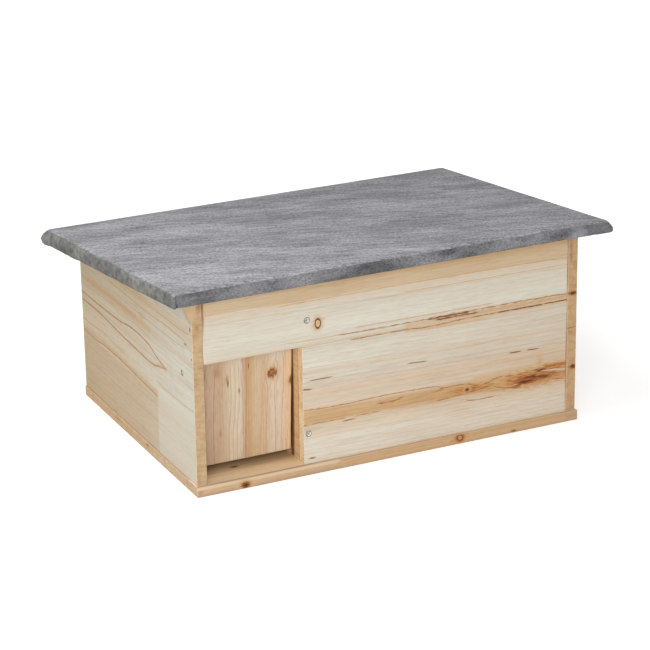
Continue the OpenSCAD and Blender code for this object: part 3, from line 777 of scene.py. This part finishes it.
# Painted light and shade on the bent felt: the front right fold is painted darker as its shadow, with a
# painted sheen beside it, and the front left crease is painted near black as its shadow
FOLD_SHADOW_GREY = (106, 107, 110)
PAINTED_SHEEN_GREY = (186, 190, 198)
FOLD_SHADOW = Kind([(0.0, FOLD_SHADOW_GREY, 0.55), (0.9, FOLD_SHADOW_GREY, 0.55), (1.02, FELT_FRONT, 0.0)], 0.3)
PAINTED_SHEEN = Kind([(0.0, PAINTED_SHEEN_GREY, 0.4), (0.6, PAINTED_SHEEN_GREY, 0.3), (1.2, FELT_FRONT, 0.0)], 1.6)
CREASE_SHADOW = Kind([(0.0, (54, 54, 52), 0.95), (0.6, (84, 84, 82), 0.7), (1.0, FELT_FRONT, 0.0)], 0.3)
# Painted sheen and shadow at the front right fold, and painted shadow in the front left crease
FELT_MARKS = (
    spot(PAINTED_SHEEN, 219, 233, 13, 16),
    spot(FOLD_SHADOW, 250, 234, 19, 40),
    spot(CREASE_SHADOW, -258.5, 224, 1.4, 9),
)


def make_felt_material():
    """Grey mineral felt: fine streaks along the roll, darker and mottled where it bends down."""
    shader = Shader(bpy.data.materials.new("roofing_felt"))

    def grain(name, detail=3.0, **settings):
        return shader.noise(FELT_CELLS[name], detail, **settings)

    long_streak = grain("long streak", turn=FELT_TURN)
    short_streak = grain("short streak", 2.0, turn=FELT_TURN)
    streak = shader.math("MULTIPLY", shader.math("ADD", long_streak, short_streak), 0.5)
    top = shader.colours(streak, [(0.34, FELT_DARK), (0.5, FELT_TOP), (0.66, FELT_LIGHT)])
    to_left = shader.span(shader.normal[X], *LEFT_FACING)
    side = shader.blend(to_left, linear(FELT_FRONT), linear(FELT_LEFT))
    ribs = shader.colours(grain("rib", 4.0), FELT_RIBS)
    specks = shader.colours(grain("speck", 4.0), FELT_SPECKS)
    specks = shader.tint(specks, shader.colours(grain("patch"), FELT_PATCHES))
    side = shader.tint(side, shader.blend(to_left, specks, ribs))
    # Painted shade: the top is darkened towards its right and its back
    for axis, (low, high) in FELT_SHADOW_SPAN.items():
        top = shader.tint(top, shader.colours(shader.axis[axis], [(low, WHITE), (high, FELT_SHADOWED)]))
    bent_down = shader.span(shader.normal[Z], *DOWN_FACING)
    colour = shader.blend(bent_down, top, side)
    colour = marked(shader, colour, FELT_FACE, FELT_MARKS, grain("ragged", centre=True), bent_down)
    grit = grain("grit", 2.0)
    cloud = grain("cloud", turn=FELT_TURN)
    for value, low, high, tint in ((cloud, 0.35, 0.65, FELT_CLOUD), (grit, 0.5, 0.8, FELT_GRIT)):
        colour = shader.tint(colour, linear(tint), shader.span(value, low, high, 0.0, 0.7))
    shader.bump(shader.math("ADD", streak, grit), FELT_BUMP)
    return shader.finish(colour, shader.span(grit, *MOST, *FELT_ROUGHNESS), FELT_SPECULAR)


ZINC_CLOUD = (2.5, 2.5, 2.5)
ZINC_SCRATCH = (6, 0.3, 0.3)
ZINC_METALLIC = 0.6
ZINC_BUMP = 0.03
ZINC_ROUGHNESS = (0.28, 0.46)
ZINC_SPECULAR = 0.5


def make_zinc():
    """Zinc-plated steel, a little cloudy and scratched, dark in its hollows, with painted shadow round the
    rims of some heads.
    """
    shader = Shader(bpy.data.materials.new("zinc_steel"))
    cloud = shader.noise(ZINC_CLOUD, 3.0)
    scratch = shader.noise(ZINC_SCRATCH, 2.0)
    colour = shader.colours(cloud, [(0.3, ZINC_DULL), (0.55, ZINC), (0.8, ZINC_BRIGHT)])
    colour = shader.blend(shader.tone(), colour, linear(ZINC_HOLLOW_AND_RIM_SHADOW))
    shader.set("Metallic", ZINC_METALLIC)
    shader.bump(shader.math("ADD", cloud, scratch), ZINC_BUMP)
    return shader.finish(colour, shader.span(scratch, *MOST, *ZINC_ROUGHNESS), ZINC_SPECULAR)


# Meshes

def add_piece(name, points, faces, body, material, nodes, tone=None):
    """A mesh in the row frame that rides on a body in place of CAD nodes."""
    mesh = new_mesh(name, points, faces)
    if tone is not None:
        mesh.attributes.new(TONE, "FLOAT", "POINT").data.foreach_set("value", tone)
    mesh.polygons.foreach_set("use_smooth", [True] * len(mesh.polygons))
    mesh.materials.append(material)
    piece = placed(name, mesh)
    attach(piece, body)
    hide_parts(*nodes)
    return piece


def grid_lines(low, high, ease, cell, extra=()):
    """Coordinates across a block: an arc's worth and a support line at each end, even cells between."""
    arc = np.array([ease * (1 - math.tan(angle)) for angle in (math.pi / 4, math.pi / 8, 0)])
    reach = ease * (2 if high - low > 5 * ease else 1)
    count = max(1, round((high - low - 2 * reach) / cell))
    inner = np.linspace(low + reach, high - reach, count + 1)
    return np.unique(np.round(np.concatenate([low + arc, inner, high - arc, extra]), 4))


def block(lines):
    """A closed box of quads on three sets of grid lines, as points and faces."""
    index = {}
    faces = []
    for axis in (X, Y, Z):
        u, v = (axis + 1) % 3, (axis + 2) % 3
        for end in (0, len(lines[axis]) - 1):
            for a in range(len(lines[u]) - 1):
                for b in range(len(lines[v]) - 1):
                    face = []
                    for step_a, step_b in ((0, 0), (1, 0), (1, 1), (0, 1)):
                        key = [0, 0, 0]
                        key[axis], key[u], key[v] = end, a + step_a, b + step_b
                        face.append(index.setdefault(tuple(key), len(index)))
                    faces.append(face if end else face[::-1])
    points = np.array([[lines[axis][key[axis]] for axis in (X, Y, Z)] for key in index])
    return points, faces


def round_edges(points, low, high, ease):
    """Points of a block with its edges brought to arcs, and 1 for each point on an edge."""
    nearer_high = (points - low) > (high - points)
    side = np.where(nearer_high, 1.0, -1.0)
    distance = np.minimum(points - low, high - points)
    ease = np.broadcast_to(ease, len(points))[:, None]
    deep = np.maximum(0, ease - distance)
    reach = np.linalg.norm(deep, axis=1, keepdims=True)
    keep = deep.max(axis=1, keepdims=True) / np.maximum(reach, 1e-9)
    edge = ((deep > 1e-6).sum(axis=1) >= 2).astype(float)
    return points - side * deep * (1 - np.where(reach > 0, keep, 1)), edge


# Sizes of the boards' lumps, and the seed that makes them the same in every run
FINE_LUMP = 12
BROAD_LUMP = 90
LUMP_SEED = 7


def roughen(points, fine, broad):
    """Points moved by the slight unevenness of sawn boards, in fine and broad lumps."""
    moved = []
    for point in points:
        place = Vector(point)
        small, large = noise.noise_vector(place / FINE_LUMP), noise.noise_vector(place / BROAD_LUMP)
        moved.append(place + small * fine + large * broad)
    return np.array(moved)


def eased_block(low, high, ease=0.6, cell=5.0, ease_at=None):
    """A block between two corners with its edges eased, and its edge values."""
    points, faces = block([grid_lines(low[axis], high[axis], ease, cell) for axis in (X, Y, Z)])
    points, edge = round_edges(points, low, high, ease_at(points) if ease_at else ease)
    return points, faces, edge


def slope_top(points, node):
    """A block's top brought down to the roof's slope, highest at the node's front."""
    low, high = box(node)
    top = high[Z] - math.tan(PITCH) * (points[:, Y] - low[Y])
    points[:, Z] = low[Z] + (points[:, Z] - low[Z]) * (top - low[Z]) / (high[Z] - low[Z])
    return points


def smooth(value, low, high):
    """0 below low, 1 above high and a smooth step between."""
    part = np.clip((value - low) / (high - low), 0, 1)
    return part * part * (3 - 2 * part)


def add_board(node, points, faces, edge, body="house", fine=0.08, broad=0.15):
    """A board's finished piece, in place of its node; nothing goes below the ground."""
    points = roughen(points, fine, broad)
    points[:, Z] = np.maximum(points[:, Z], BASE_LOW[Z])
    return add_piece("pine_" + node, points, faces, body, WOODS[node], [node], edge)


# How far the wane reaches across the top, down the front edge and along the side
WANE_ACROSS = 7
WANE_DOWN = 31
WANE_ALONG = 32


def add_left_wall():
    """The left wall, with a waney top front corner."""
    piece = add_wall("left_wall")
    corner = Vector((WALL_LOW[X], WALL_LOW[Y], WALL_HIGH[Z]))
    on_top = corner + Vector((WANE_ACROSS, 0, 0))
    on_front_edge = corner - Vector((0, 0, WANE_DOWN))
    on_side = corner + Vector((0, WANE_ALONG, -math.tan(PITCH) * WANE_ALONG))
    cut_off(piece, on_top, on_front_edge, on_side)


def cut_off(piece, a, b, c):
    """A corner of a piece cut away by the plane through three points, and closed."""
    mesh = bmesh.new()
    mesh.from_mesh(piece.data)
    normal = (b - a).cross(c - a).normalized()
    if normal.z < 0:
        normal = -normal
    everything = mesh.verts[:] + mesh.edges[:] + mesh.faces[:]
    cut = bmesh.ops.bisect_plane(mesh, geom=everything, plane_co=a * MM, plane_no=normal, clear_outer=True)
    rim = [item for item in cut["geom_cut"] if isinstance(item, bmesh.types.BMEdge)]
    cap = bmesh.ops.holes_fill(mesh, edges=rim)
    bmesh.ops.poke(mesh, faces=cap["faces"])
    mesh.to_mesh(piece.data)
    mesh.free()


def add_wall(node):
    """A plain wall with the roof's slope on top."""
    points, faces, edge = eased_block(*box(node))
    return add_board(node, slope_top(points, node), faces, edge)


# How far the ends are drawn in at the top, from what height, and from what share of half the length
END_GAP = 1.7
END_GAP_FROM = 186
END_FROM = 0.9
PLAIN_EASE = 0.5
ENTRANCE_EASE = 2.4
# How far the greater ease fades out before and past the entrance's end, and its band on the lower front edge
EASE_FADE = (4, 6)
EASE_BAND = 8


def add_front_upper():
    """The upper front board: eased over the entrance, its ends drawn in a little near the top."""
    node = "front_upper_board"
    low, high = box(node)
    entrance_end = box("front_lower_board")[0][X]

    def ease_at(points):
        over_entrance = 1 - smooth(points[:, X], entrance_end - EASE_FADE[0], entrance_end + EASE_FADE[1])
        lower_front = (points[:, Z] < low[Z] + EASE_BAND) & (points[:, Y] < low[Y] + EASE_BAND)
        return PLAIN_EASE + (ENTRANCE_EASE - PLAIN_EASE) * over_entrance * lower_front

    points, faces, edge = eased_block(low, high, ENTRANCE_EASE, ease_at=ease_at)
    points = slope_top(points, node)
    rise = smooth(points[:, Z], END_GAP_FROM, high[Z])
    middle = (low[X] + high[X]) / 2
    half = (high[X] - low[X]) / 2
    outward = (points[:, X] - middle) / half
    near_end = smooth(np.abs(outward), END_FROM, 1.0)
    points[:, X] -= np.sign(outward) * END_GAP * rise * near_end
    return add_board(node, points, faces, edge)


# How deep the splinters are, and how long through the board's thickness and up its end
RAGGED = 0.7
SPLINTER = (9, 3.5)


def add_front_lower():
    """The lower front board, with a ragged sawn end at the entrance."""
    node = "front_lower_board"
    low, high = box(node)
    points, faces, edge = eased_block(low, high, cell=4.0)
    for point in points:
        if point[X] < low[X] + 1:
            place = Vector((0, point[Y] / SPLINTER[0], point[Z] / SPLINTER[1]))
            point[X] += RAGGED * noise.noise(place)
    return add_board(node, points, faces, edge)


# The flap's thickness, and its reach before, above and below its pivot
FLAP_T = 12
FLAP_FRONT = 9
FLAP_RISE = 15.5
FLAP_DROP = 111.5
FLAP_LEAN = math.radians(3.576)
FLAP_EASE = 1.3


def add_flap():
    """The hanging flap, built upright about its pivot and then leaned inwards at the foot."""
    node = "entrance_flap"
    side_low, side_high = box(node)
    low = np.array([side_low[X], -FLAP_FRONT, -FLAP_DROP])
    high = np.array([side_high[X], FLAP_T - FLAP_FRONT, FLAP_RISE])
    points, faces, edge = eased_block(low, high, FLAP_EASE, 4.0)
    points = tilted(points, FLAP_LEAN) + [0, PIVOT[Y], PIVOT[Z]]
    return add_board(node, points, faces, edge, body="flap", fine=0.2, broad=0.2)


def add_base():
    """The base board."""
    points, faces, edge = eased_block(*box("base_board"), ease=1.0, cell=6.0)
    return add_board("base_board", points, faces, edge)


FELT_T = 1.3
# Radii of the felt's bends at its top and foot, and how far above the foot and below the top they change
FELT_TOP_R = 8.0
FELT_FOOT_R = 3.0
FELT_BEND_FROM = 3
FELT_BEND_TO = 4
# How far outside the walls, and behind the hinge leaves, the turned-in felt ends
FELT_BARE = 6
FELT_HINGE_GAP = 1
FELT_CELL = 6.0
FELT_WAVE = 0.7
# Where grid lines follow the folds and the lap, from the edges
FELT_FOLD_LINES = (1.8, 3.0, 4.0, 5.0, 6.0, 7.0)
FELT_LAP_LINES = np.arange(14, 34, 2)
# How far in from the edges the loose lip and the folded corners reach
LIP_REACH = 9
EAR_REACH = 9
# Farther than this from its ends the back lip is drawn tight, to clear the back wall when the roof opens
LIP_CLEAR = (16, 24)
# For the front left, front right, back left and back right corners: how far the loose lip hangs
# below the board, and how far the folded corner sticks out
LIP_HANG = (1.3, 0.0, 4.4, 0.8)
EARS = (1.5, 1.8, 6.0, 1.5)


def roof_frame_box(node):
    """A node's box in the roof's own frame, turned by the roof's pitch about X."""
    points = np.array([vertex.co for vertex in frame["nodes"][node].data.vertices]) / MM
    turned_points = tilted(points, PITCH)
    return turned_points.min(axis=0), turned_points.max(axis=0)


# How far the board's edges lie inside its solid's, so that the felt's bends clear them
ROOF_INSET = 1.2
ROOF_EASE = 5.5
ROOF_UNDER_EASE = 1.0


def add_roof_board():
    """The roof board, its upper edges rounded for the felt that is bent round them."""
    low, high = roof_frame_box("roof_board")
    low, high = low + [ROOF_INSET, ROOF_INSET, 0], high - [ROOF_INSET, ROOF_INSET, 0]

    def ease_at(points):
        return np.where(points[:, Z] > (low[Z] + high[Z]) / 2, ROOF_EASE, ROOF_UNDER_EASE)

    points, faces, edge = eased_block(low, high, ROOF_EASE, 6.0, ease_at)
    return add_board("roof_board", tilted(points, -PITCH), faces, edge, body="roof")


def felt_grid(low, high, window_low, window_high):
    """The felt as a block, with lines at its bends, folds and laps, and open under the roof board."""
    folds = np.array(FELT_FOLD_LINES)
    extra = [
        np.concatenate([[window_low[axis], window_high[axis]], low[axis] + folds, high[axis] - folds])
        for axis in (X, Y)
    ]
    extra[X] = np.concatenate([extra[X], high[X] - FELT_LAP_LINES])
    extra.append([high[Z] - FELT_TOP_R / part for part in (1, 2, 4)])
    ends = (FELT_TOP_R, FELT_TOP_R, FELT_FOOT_R)
    lines = [grid_lines(low[axis], high[axis], ends[axis], FELT_CELL, extra[axis]) for axis in (X, Y, Z)]
    points, faces = block(lines)
    middles = np.array([points[face].mean(axis=0) for face in faces])
    inside = ((middles[:, :2] > window_low) & (middles[:, :2] < window_high)).all(axis=1)
    under = middles[:, Z] < low[Z] + 0.01
    return points, [face for face, gone in zip(faces, inside & under) if not gone]


def add_felt():
    """The felt: a sheet bent round the roof board's edges and under it, open over the house."""
    low, high = roof_frame_box("roof_felt")
    wall_line = tilted(np.array([0, WALL_LOW[Y], WALL_HIGH[Z]]), PITCH)[Y]
    window_low = np.array([WALL_LOW[X] - FELT_BARE, wall_line - FELT_BARE])
    hinge_line = roof_frame_box("left_hinge_roof_leaf")[1][Y]
    window_high = np.array([-window_low[X], hinge_line + FELT_HINGE_GAP])
    points, faces = felt_grid(low, high, window_low, window_high)
    bend = smooth(points[:, Z], low[Z] + FELT_BEND_FROM, high[Z] - FELT_BEND_TO)
    rounded, _ = round_edges(points, low, high, FELT_FOOT_R + (FELT_TOP_R - FELT_FOOT_R) * bend)
    rounded += drape(points, low, high)
    used = np.unique(np.concatenate(faces))
    place = {old: new for new, old in enumerate(used)}
    faces = [[place[corner] for corner in face] for face in faces]
    points = tilted(rounded[used], -PITCH)
    piece = add_piece("roofing_felt", points, faces, "roof", FELT, ["roof_felt"])
    thicken(piece, FELT_T)


def lumps(points, size):
    """Smooth noise with lumps of about the given size, one value for each point."""
    return np.array([noise.noise(Vector(point) / size) for point in points])


# Sizes of the felt's lumps on its sides and on its top, and how far the top is lifted by them
SIDE_LUMPS = (22, 8)
TOP_LUMP = 60
TOP_WAVE = 0.25
# How deep the sides' looseness reaches, and the share of the wave that always stands out
SIDE_DEPTH = 5
SIDE_OUT = 0.3
# How much thinner the laps are at the top, how uneven the lip hangs, and the least share of an ear
LAP_THINNING = 0.6
HANG_WAVE = 0.12
EAR_LEAST = 0.3


def drape(points, low, high):
    """How far each point of the felt lies off a neatly bent sheet: lumps, a loose lip, ears and laps."""
    from_low, from_high = points - low, high - points
    nearest = np.minimum(from_low, from_high)
    lump = lumps(points, SIDE_LUMPS[0]) + 0.5 * lumps(points, SIDE_LUMPS[1])
    lifted = smooth(points[:, Z], low[Z], high[Z])
    offset = np.zeros_like(points)
    for axis in (X, Y):
        on_side = 1 - smooth(nearest[:, axis], 0, SIDE_DEPTH)
        outward = np.where(from_low[:, axis] < from_high[:, axis], -1, 1)
        offset[:, axis] = outward * on_side * FELT_WAVE * (SIDE_OUT + lump)
    at_front = 1 - smooth(from_low[:, Y], 0, SIDE_DEPTH)
    left_lap = lap(from_low[:, X], LEFT_LAP)
    right_lap = lap(from_high[:, X] - LAP_SLANT * from_low[:, Z], RIGHT_LAP)
    offset[:, Y] -= at_front * (1 - LAP_THINNING * lifted) * (left_lap + right_lap)
    right, back = (from_low[:, :2] / (high - low)[:2]).T
    left, front = 1 - right, 1 - back
    shares = np.stack([left * front, right * front, left * back, right * back], axis=1)
    hang = shares @ np.array(LIP_HANG) * (1 + HANG_WAVE * lump)
    behind = (1 - smooth(from_high[:, Y], 1, 2 * LIP_REACH)) * smooth(nearest[:, X], *LIP_CLEAR)
    loose = (1 - lifted) * (1 - smooth(nearest[:, :2].min(axis=1), 1, LIP_REACH)) * (1 - behind)
    offset[:, Z] = TOP_WAVE * lifted * lumps(points, TOP_LUMP) - hang * loose
    bulge = EAR_LEAST + (1 - EAR_LEAST) * np.sin(math.pi * lifted)
    for size, toward_x, toward_y in zip(EARS, (-1, 1, -1, 1), (-1, -1, 1, 1)):
        corner = np.where([toward_x > 0, toward_y > 0], high[:2], low[:2])
        near = np.exp(-(np.linalg.norm(points[:, :2] - corner, axis=1) / EAR_REACH) ** 2)
        offset[:, :2] += np.outer(size * near * bulge, [toward_x, toward_y]) / math.sqrt(2)
    return offset


# A layer of felt folded over at a front corner: how far it steps out, where its end starts and stops
# falling off, and the depth, place and half width of the crease beside it
Lap = namedtuple("Lap", "out start stop crease crease_at crease_half")
LEFT_LAP = Lap(2.4, 3.5, 5, 2.0, 6, 1.3)
RIGHT_LAP = Lap(2.2, 17, 21, 1.2, 23, 1.8)
# How far the right lap's end moves in for each millimetre up
LAP_SLANT = 0.8


def lap(distance, size):
    """How far a lap stands out at a distance from its corner."""
    step = size.out * (1 - smooth(distance, size.start, size.stop))
    return step - size.crease * np.exp(-((distance - size.crease_at) / size.crease_half) ** 2)


def thicken(piece, thickness):
    """A sheet given its thickness inwards, with the modifier's result kept as the mesh."""
    modifier = piece.modifiers.new("thickness", "SOLIDIFY")
    modifier.thickness = thickness * MM
    modifier.offset = -1
    modifier.use_even_offset = True
    keep_modifiers(piece)


def keep_modifiers(piece):
    """A piece's evaluated mesh in place of its mesh and modifiers."""
    evaluated = piece.evaluated_get(bpy.context.evaluated_depsgraph_get())
    mesh = bpy.data.meshes.new_from_object(evaluated)
    piece.modifiers.clear()
    old = piece.data
    piece.data = mesh
    mesh.name = piece.name
    bpy.data.meshes.remove(old)


# Fasteners

def solids_of(node):
    """The points of each separate solid in a CAD node, in millimetres."""
    mesh = frame["nodes"][node].data
    points = np.array([vertex.co for vertex in mesh.vertices]) / MM
    places, index = np.unique(np.round(points, 3), axis=0, return_inverse=True)
    index = index.ravel()
    root = list(range(len(places)))

    def top_of(item):
        while root[item] != item:
            root[item] = root[root[item]]
            item = root[item]
        return item

    for polygon in mesh.polygons:
        first = top_of(index[polygon.vertices[0]])
        for corner in polygon.vertices[1:]:
            root[top_of(index[corner])] = first
    tops = np.array([top_of(item) for item in range(len(places))])
    return [places[tops == top] for top in np.unique(tops)]


def head_of(points):
    """A turned solid's head: the middle of its outer face, its outward direction, its radius and length."""
    centre = points.mean(axis=0)
    axis = np.linalg.svd(points - centre)[2][0]
    height = (points - centre) @ axis
    radius = np.linalg.norm(points - centre - np.outer(height, axis), axis=1)
    ends = [radius[np.abs(height - end) < 0.1].max() for end in (height.min(), height.max())]
    if ends[0] > ends[1]:
        axis, height = -axis, -height
    return centre + axis * height.max(), axis, radius.max(), np.ptp(height)


def turned(rings, segments, shape=None):
    """A solid turned about Z from (radius, height) rings, top to bottom, closed by a point at each end."""
    angles = np.arange(segments) * math.tau / segments
    points = [(0, 0, rings[0][1])]
    for radius, height in rings:
        points += [(radius * math.cos(angle), radius * math.sin(angle), height) for angle in angles]
    points.append((0, 0, rings[-1][1]))
    points = np.array(points, float)
    if shape:
        points = np.array([shape(point) for point in points])
    faces = []
    last = len(points) - 1
    for j in range(segments):
        k = (j + 1) % segments
        faces.append((0, 1 + j, 1 + k))
        for ring in range(len(rings) - 1):
            start = 1 + ring * segments
            faces.append((start + j, start + segments + j, start + segments + k, start + k))
        foot = 1 + (len(rings) - 1) * segments
        faces.append((foot + j, last, foot + k))
    return points, faces


def set_at(points, place, out, spin):
    """Points built about Z, moved to a place with Z turned to out."""
    turn = Vector(out).to_track_quat("Z", "Y").to_matrix() @ Matrix.Rotation(spin, 3, "Z")
    return points @ np.array(turn).T + place


def joined(parts):
    """Several points and faces as one."""
    points, faces, count = [], [], 0
    for part_points, part_faces in parts:
        points.append(part_points)
        faces += [[corner + count for corner in face] for face in part_faces]
        count += len(part_points)
    return np.concatenate(points), faces


HEAD_SINK = 0.35
BRAD_SINK = 0.1
SCREW_SEGMENTS = 32
BRAD_SEGMENTS = 14
TACK_SEGMENTS = 20
THREAD_PITCH = 1.7
THREAD_H = 0.4
THREAD_SHARP = 5
# A screw's shank, its recess and the recess' arms, and the rings of its head, as shares of the head's radius
SHANK = 0.45
RECESS_DEEP = 0.42
ARM_HALF = 0.16
ARM_LONG = 0.5
HEAD_RINGS = (0.06, 0.12, 0.2, 0.3, 0.4, 0.5, 0.6, 0.7, 0.85, 0.97)
HEAD_CONE = 0.55
# The heights of a screw head's rounded edge and its rim
HEAD_EDGE = 0.12
HEAD_RIM = 0.3
TACK_DOME = 0.45
TACK_SHANK = 0.3
# Each fastener is turned from the last one by this angle, so no two recesses stand alike
GOLDEN = math.pi * (3 - math.sqrt(5))


def screw(radius, length):
    """A countersunk cross-head wood screw, its head's face at height 0."""
    shank = radius * SHANK
    arm_half, arm_long = radius * ARM_HALF, radius * ARM_LONG

    def shape(point):
        x, y, z = point
        wide = math.hypot(x, y)
        if z > -0.01:
            arm = min(max(abs(x) / arm_long, abs(y) / arm_half), max(abs(x) / arm_half, abs(y) / arm_long))
            return x, y, z - radius * RECESS_DEEP * min(1, max(0, 1.5 - arm))
        if z < -radius and wide > 0.6 * shank:
            turn = (z / THREAD_PITCH + math.atan2(y, x) / math.tau) % 1
            grow = 1 + THREAD_H * max(0, 1 - abs(turn - 0.5) * THREAD_SHARP) / wide
            return x * grow, y * grow, z
        return point

    rings = [(radius * part, 0.0) for part in HEAD_RINGS]
    rings += [(radius, -HEAD_EDGE), (radius * 0.98, -HEAD_RIM), (shank, -HEAD_RIM - radius * HEAD_CONE)]
    bottom = length - 3 * shank
    turns = np.arange(-radius * 1.1, -bottom, -THREAD_PITCH / 4)
    rings += [(shank, height) for height in turns]
    rings += [(shank * 0.55, -bottom - 1.6 * shank), (0.1, -length)]
    return turned(rings, SCREW_SEGMENTS, shape)


def brad(radius, length):
    """A small nail with a slightly dished head."""
    head = [(radius * 0.4, -0.12), (radius * 0.85, -0.02), (radius, -0.1)]
    point = [(radius, 2 - length), (radius * 0.3, -length)]
    return turned(head + point, BRAD_SEGMENTS)


def tack(radius, length):
    """A clout tack with a low domed head."""
    dome = [(radius * part, -TACK_DOME * part * part) for part in (0.2, 0.4, 0.6, 0.8, 0.95)]
    rim = [(radius, -0.6), (radius * 0.97, -0.8)]
    shank = radius * TACK_SHANK
    point = [(shank, -0.9), (shank, 3 - length), (0.1, -length)]
    return turned(dome + rim + point, TACK_SEGMENTS)


# The share of a head's radius from which it is painted dark, as shadow in the gap round the head; past 1
# nothing is
RIM_SHADOW_FROM = {"partition_screws": 0.72, "flap_pivot_screws": 0.55}
NO_RIM_SHADOW = 2.0
# A recess lies deeper than this, within this share of the head's radius, and takes this much of the dark
RECESS_BELOW = 0.1
RECESS_WIDE = 0.75
RECESS_DIM = 0.5


def add_fasteners(node, body, make, sink=0.0):
    """All of a node's fasteners as one piece of turned solids, sunk a little below the wood's face."""
    parts, tones = [], []
    for count, solid in enumerate(solids_of(node)):
        place, out, radius, length = head_of(solid)
        points, faces = make(radius, length - sink)
        wide = np.hypot(points[:, X], points[:, Y]) / radius
        recess = (points[:, Z] < -RECESS_BELOW) & (wide < RECESS_WIDE)
        # The outer rim of some heads takes the full dark as painted shadow in the gap round the head;
        # recesses take part of it
        tones.append(np.where(wide > RIM_SHADOW_FROM.get(node, NO_RIM_SHADOW), 1.0, RECESS_DIM * recess))
        parts.append((set_at(points, place - out * sink, out, GOLDEN * (count + 1)), faces))
    points, faces = joined(parts)
    return add_piece("steel_" + node, points, faces, body, STEEL, [node], np.concatenate(tones))


BORE_PLAY = 0.4
BORE_DEPTH = 4.5
BORE_SEGMENTS = 24
# How far a bore's mouth reaches out of and into the wood, and its core and cone as shares of its radius
MOUTH_OUT = 1.0
MOUTH_IN = 0.2
BORE_CORE = 0.4
BORE_CONE = 0.6
SHARP = math.radians(40)


def bore(piece, node, nodes):
    """Countersinks cut in a board for the fasteners whose heads lie on it."""
    low, high = box(node)
    parts = []
    for name in nodes:
        for solid in solids_of(name):
            place, out, radius, _ = head_of(solid)
            if ((place < low - 1) | (place > high + 1)).any():
                continue
            wide = radius + BORE_PLAY
            core = wide * BORE_CORE
            mouth = [(wide, MOUTH_OUT), (wide, -MOUTH_IN)]
            foot = [(core, -MOUTH_IN - wide * BORE_CONE), (core, -BORE_DEPTH)]
            points, faces = turned(mouth + foot, BORE_SEGMENTS)
            parts.append((set_at(points, place, out, 0), faces))
    mesh = new_mesh("cutter", *joined(parts))
    cutter = placed("cutter", mesh)
    modifier = piece.modifiers.new("bore", "BOOLEAN")
    modifier.object = cutter
    modifier.operation = "DIFFERENCE"
    modifier.solver = "EXACT"
    keep_modifiers(piece)
    bpy.data.objects.remove(cutter)
    bpy.data.meshes.remove(mesh)
    piece.data.set_sharp_from_angle(angle=SHARP)


def dress_nodes(material, *nodes):
    """A material for solids that stay as they are."""
    for node in nodes:
        mesh = frame["nodes"][node].data
        mesh.materials.clear()
        mesh.materials.append(material)


bpy.context.scene.view_settings.view_transform = "Standard"
make_camera()
make_world()
make_lamps()
make_floor()

WOODS = make_woods()
FELT = make_felt_material()
STEEL = make_zinc()

noise.seed_set(LUMP_SEED)
add_base()
add_left_wall()
add_wall("right_wall")
add_wall("back_wall")
add_wall("partition_wall")
add_front_upper()
add_front_lower()
add_flap()
add_roof_board()
add_felt()
SCREWS = ("partition_screws", "flap_pivot_screws", "base_screws")
BRADS = ("left_wall_brads", "right_wall_brads")
BORED = ("front_upper_board", "front_lower_board", "left_wall", "right_wall", "partition_wall", "base_board")
for screws in SCREWS:
    add_fasteners(screws, "house", screw, HEAD_SINK)
for brads in BRADS:
    add_fasteners(brads, "house", brad, BRAD_SINK)
add_fasteners("hinge_wall_screws", "house", screw)
add_fasteners("hinge_roof_screws", "roof", screw)
add_fasteners("felt_tacks", "roof", tack)
for board in BORED:
    bore(bpy.data.objects["pine_" + board], board, SCREWS + BRADS)
for side in ("left", "right"):
    dress_nodes(STEEL, side + "_hinge_wall_leaf", side + "_hinge_roof_leaf", side + "_hinge_pin")
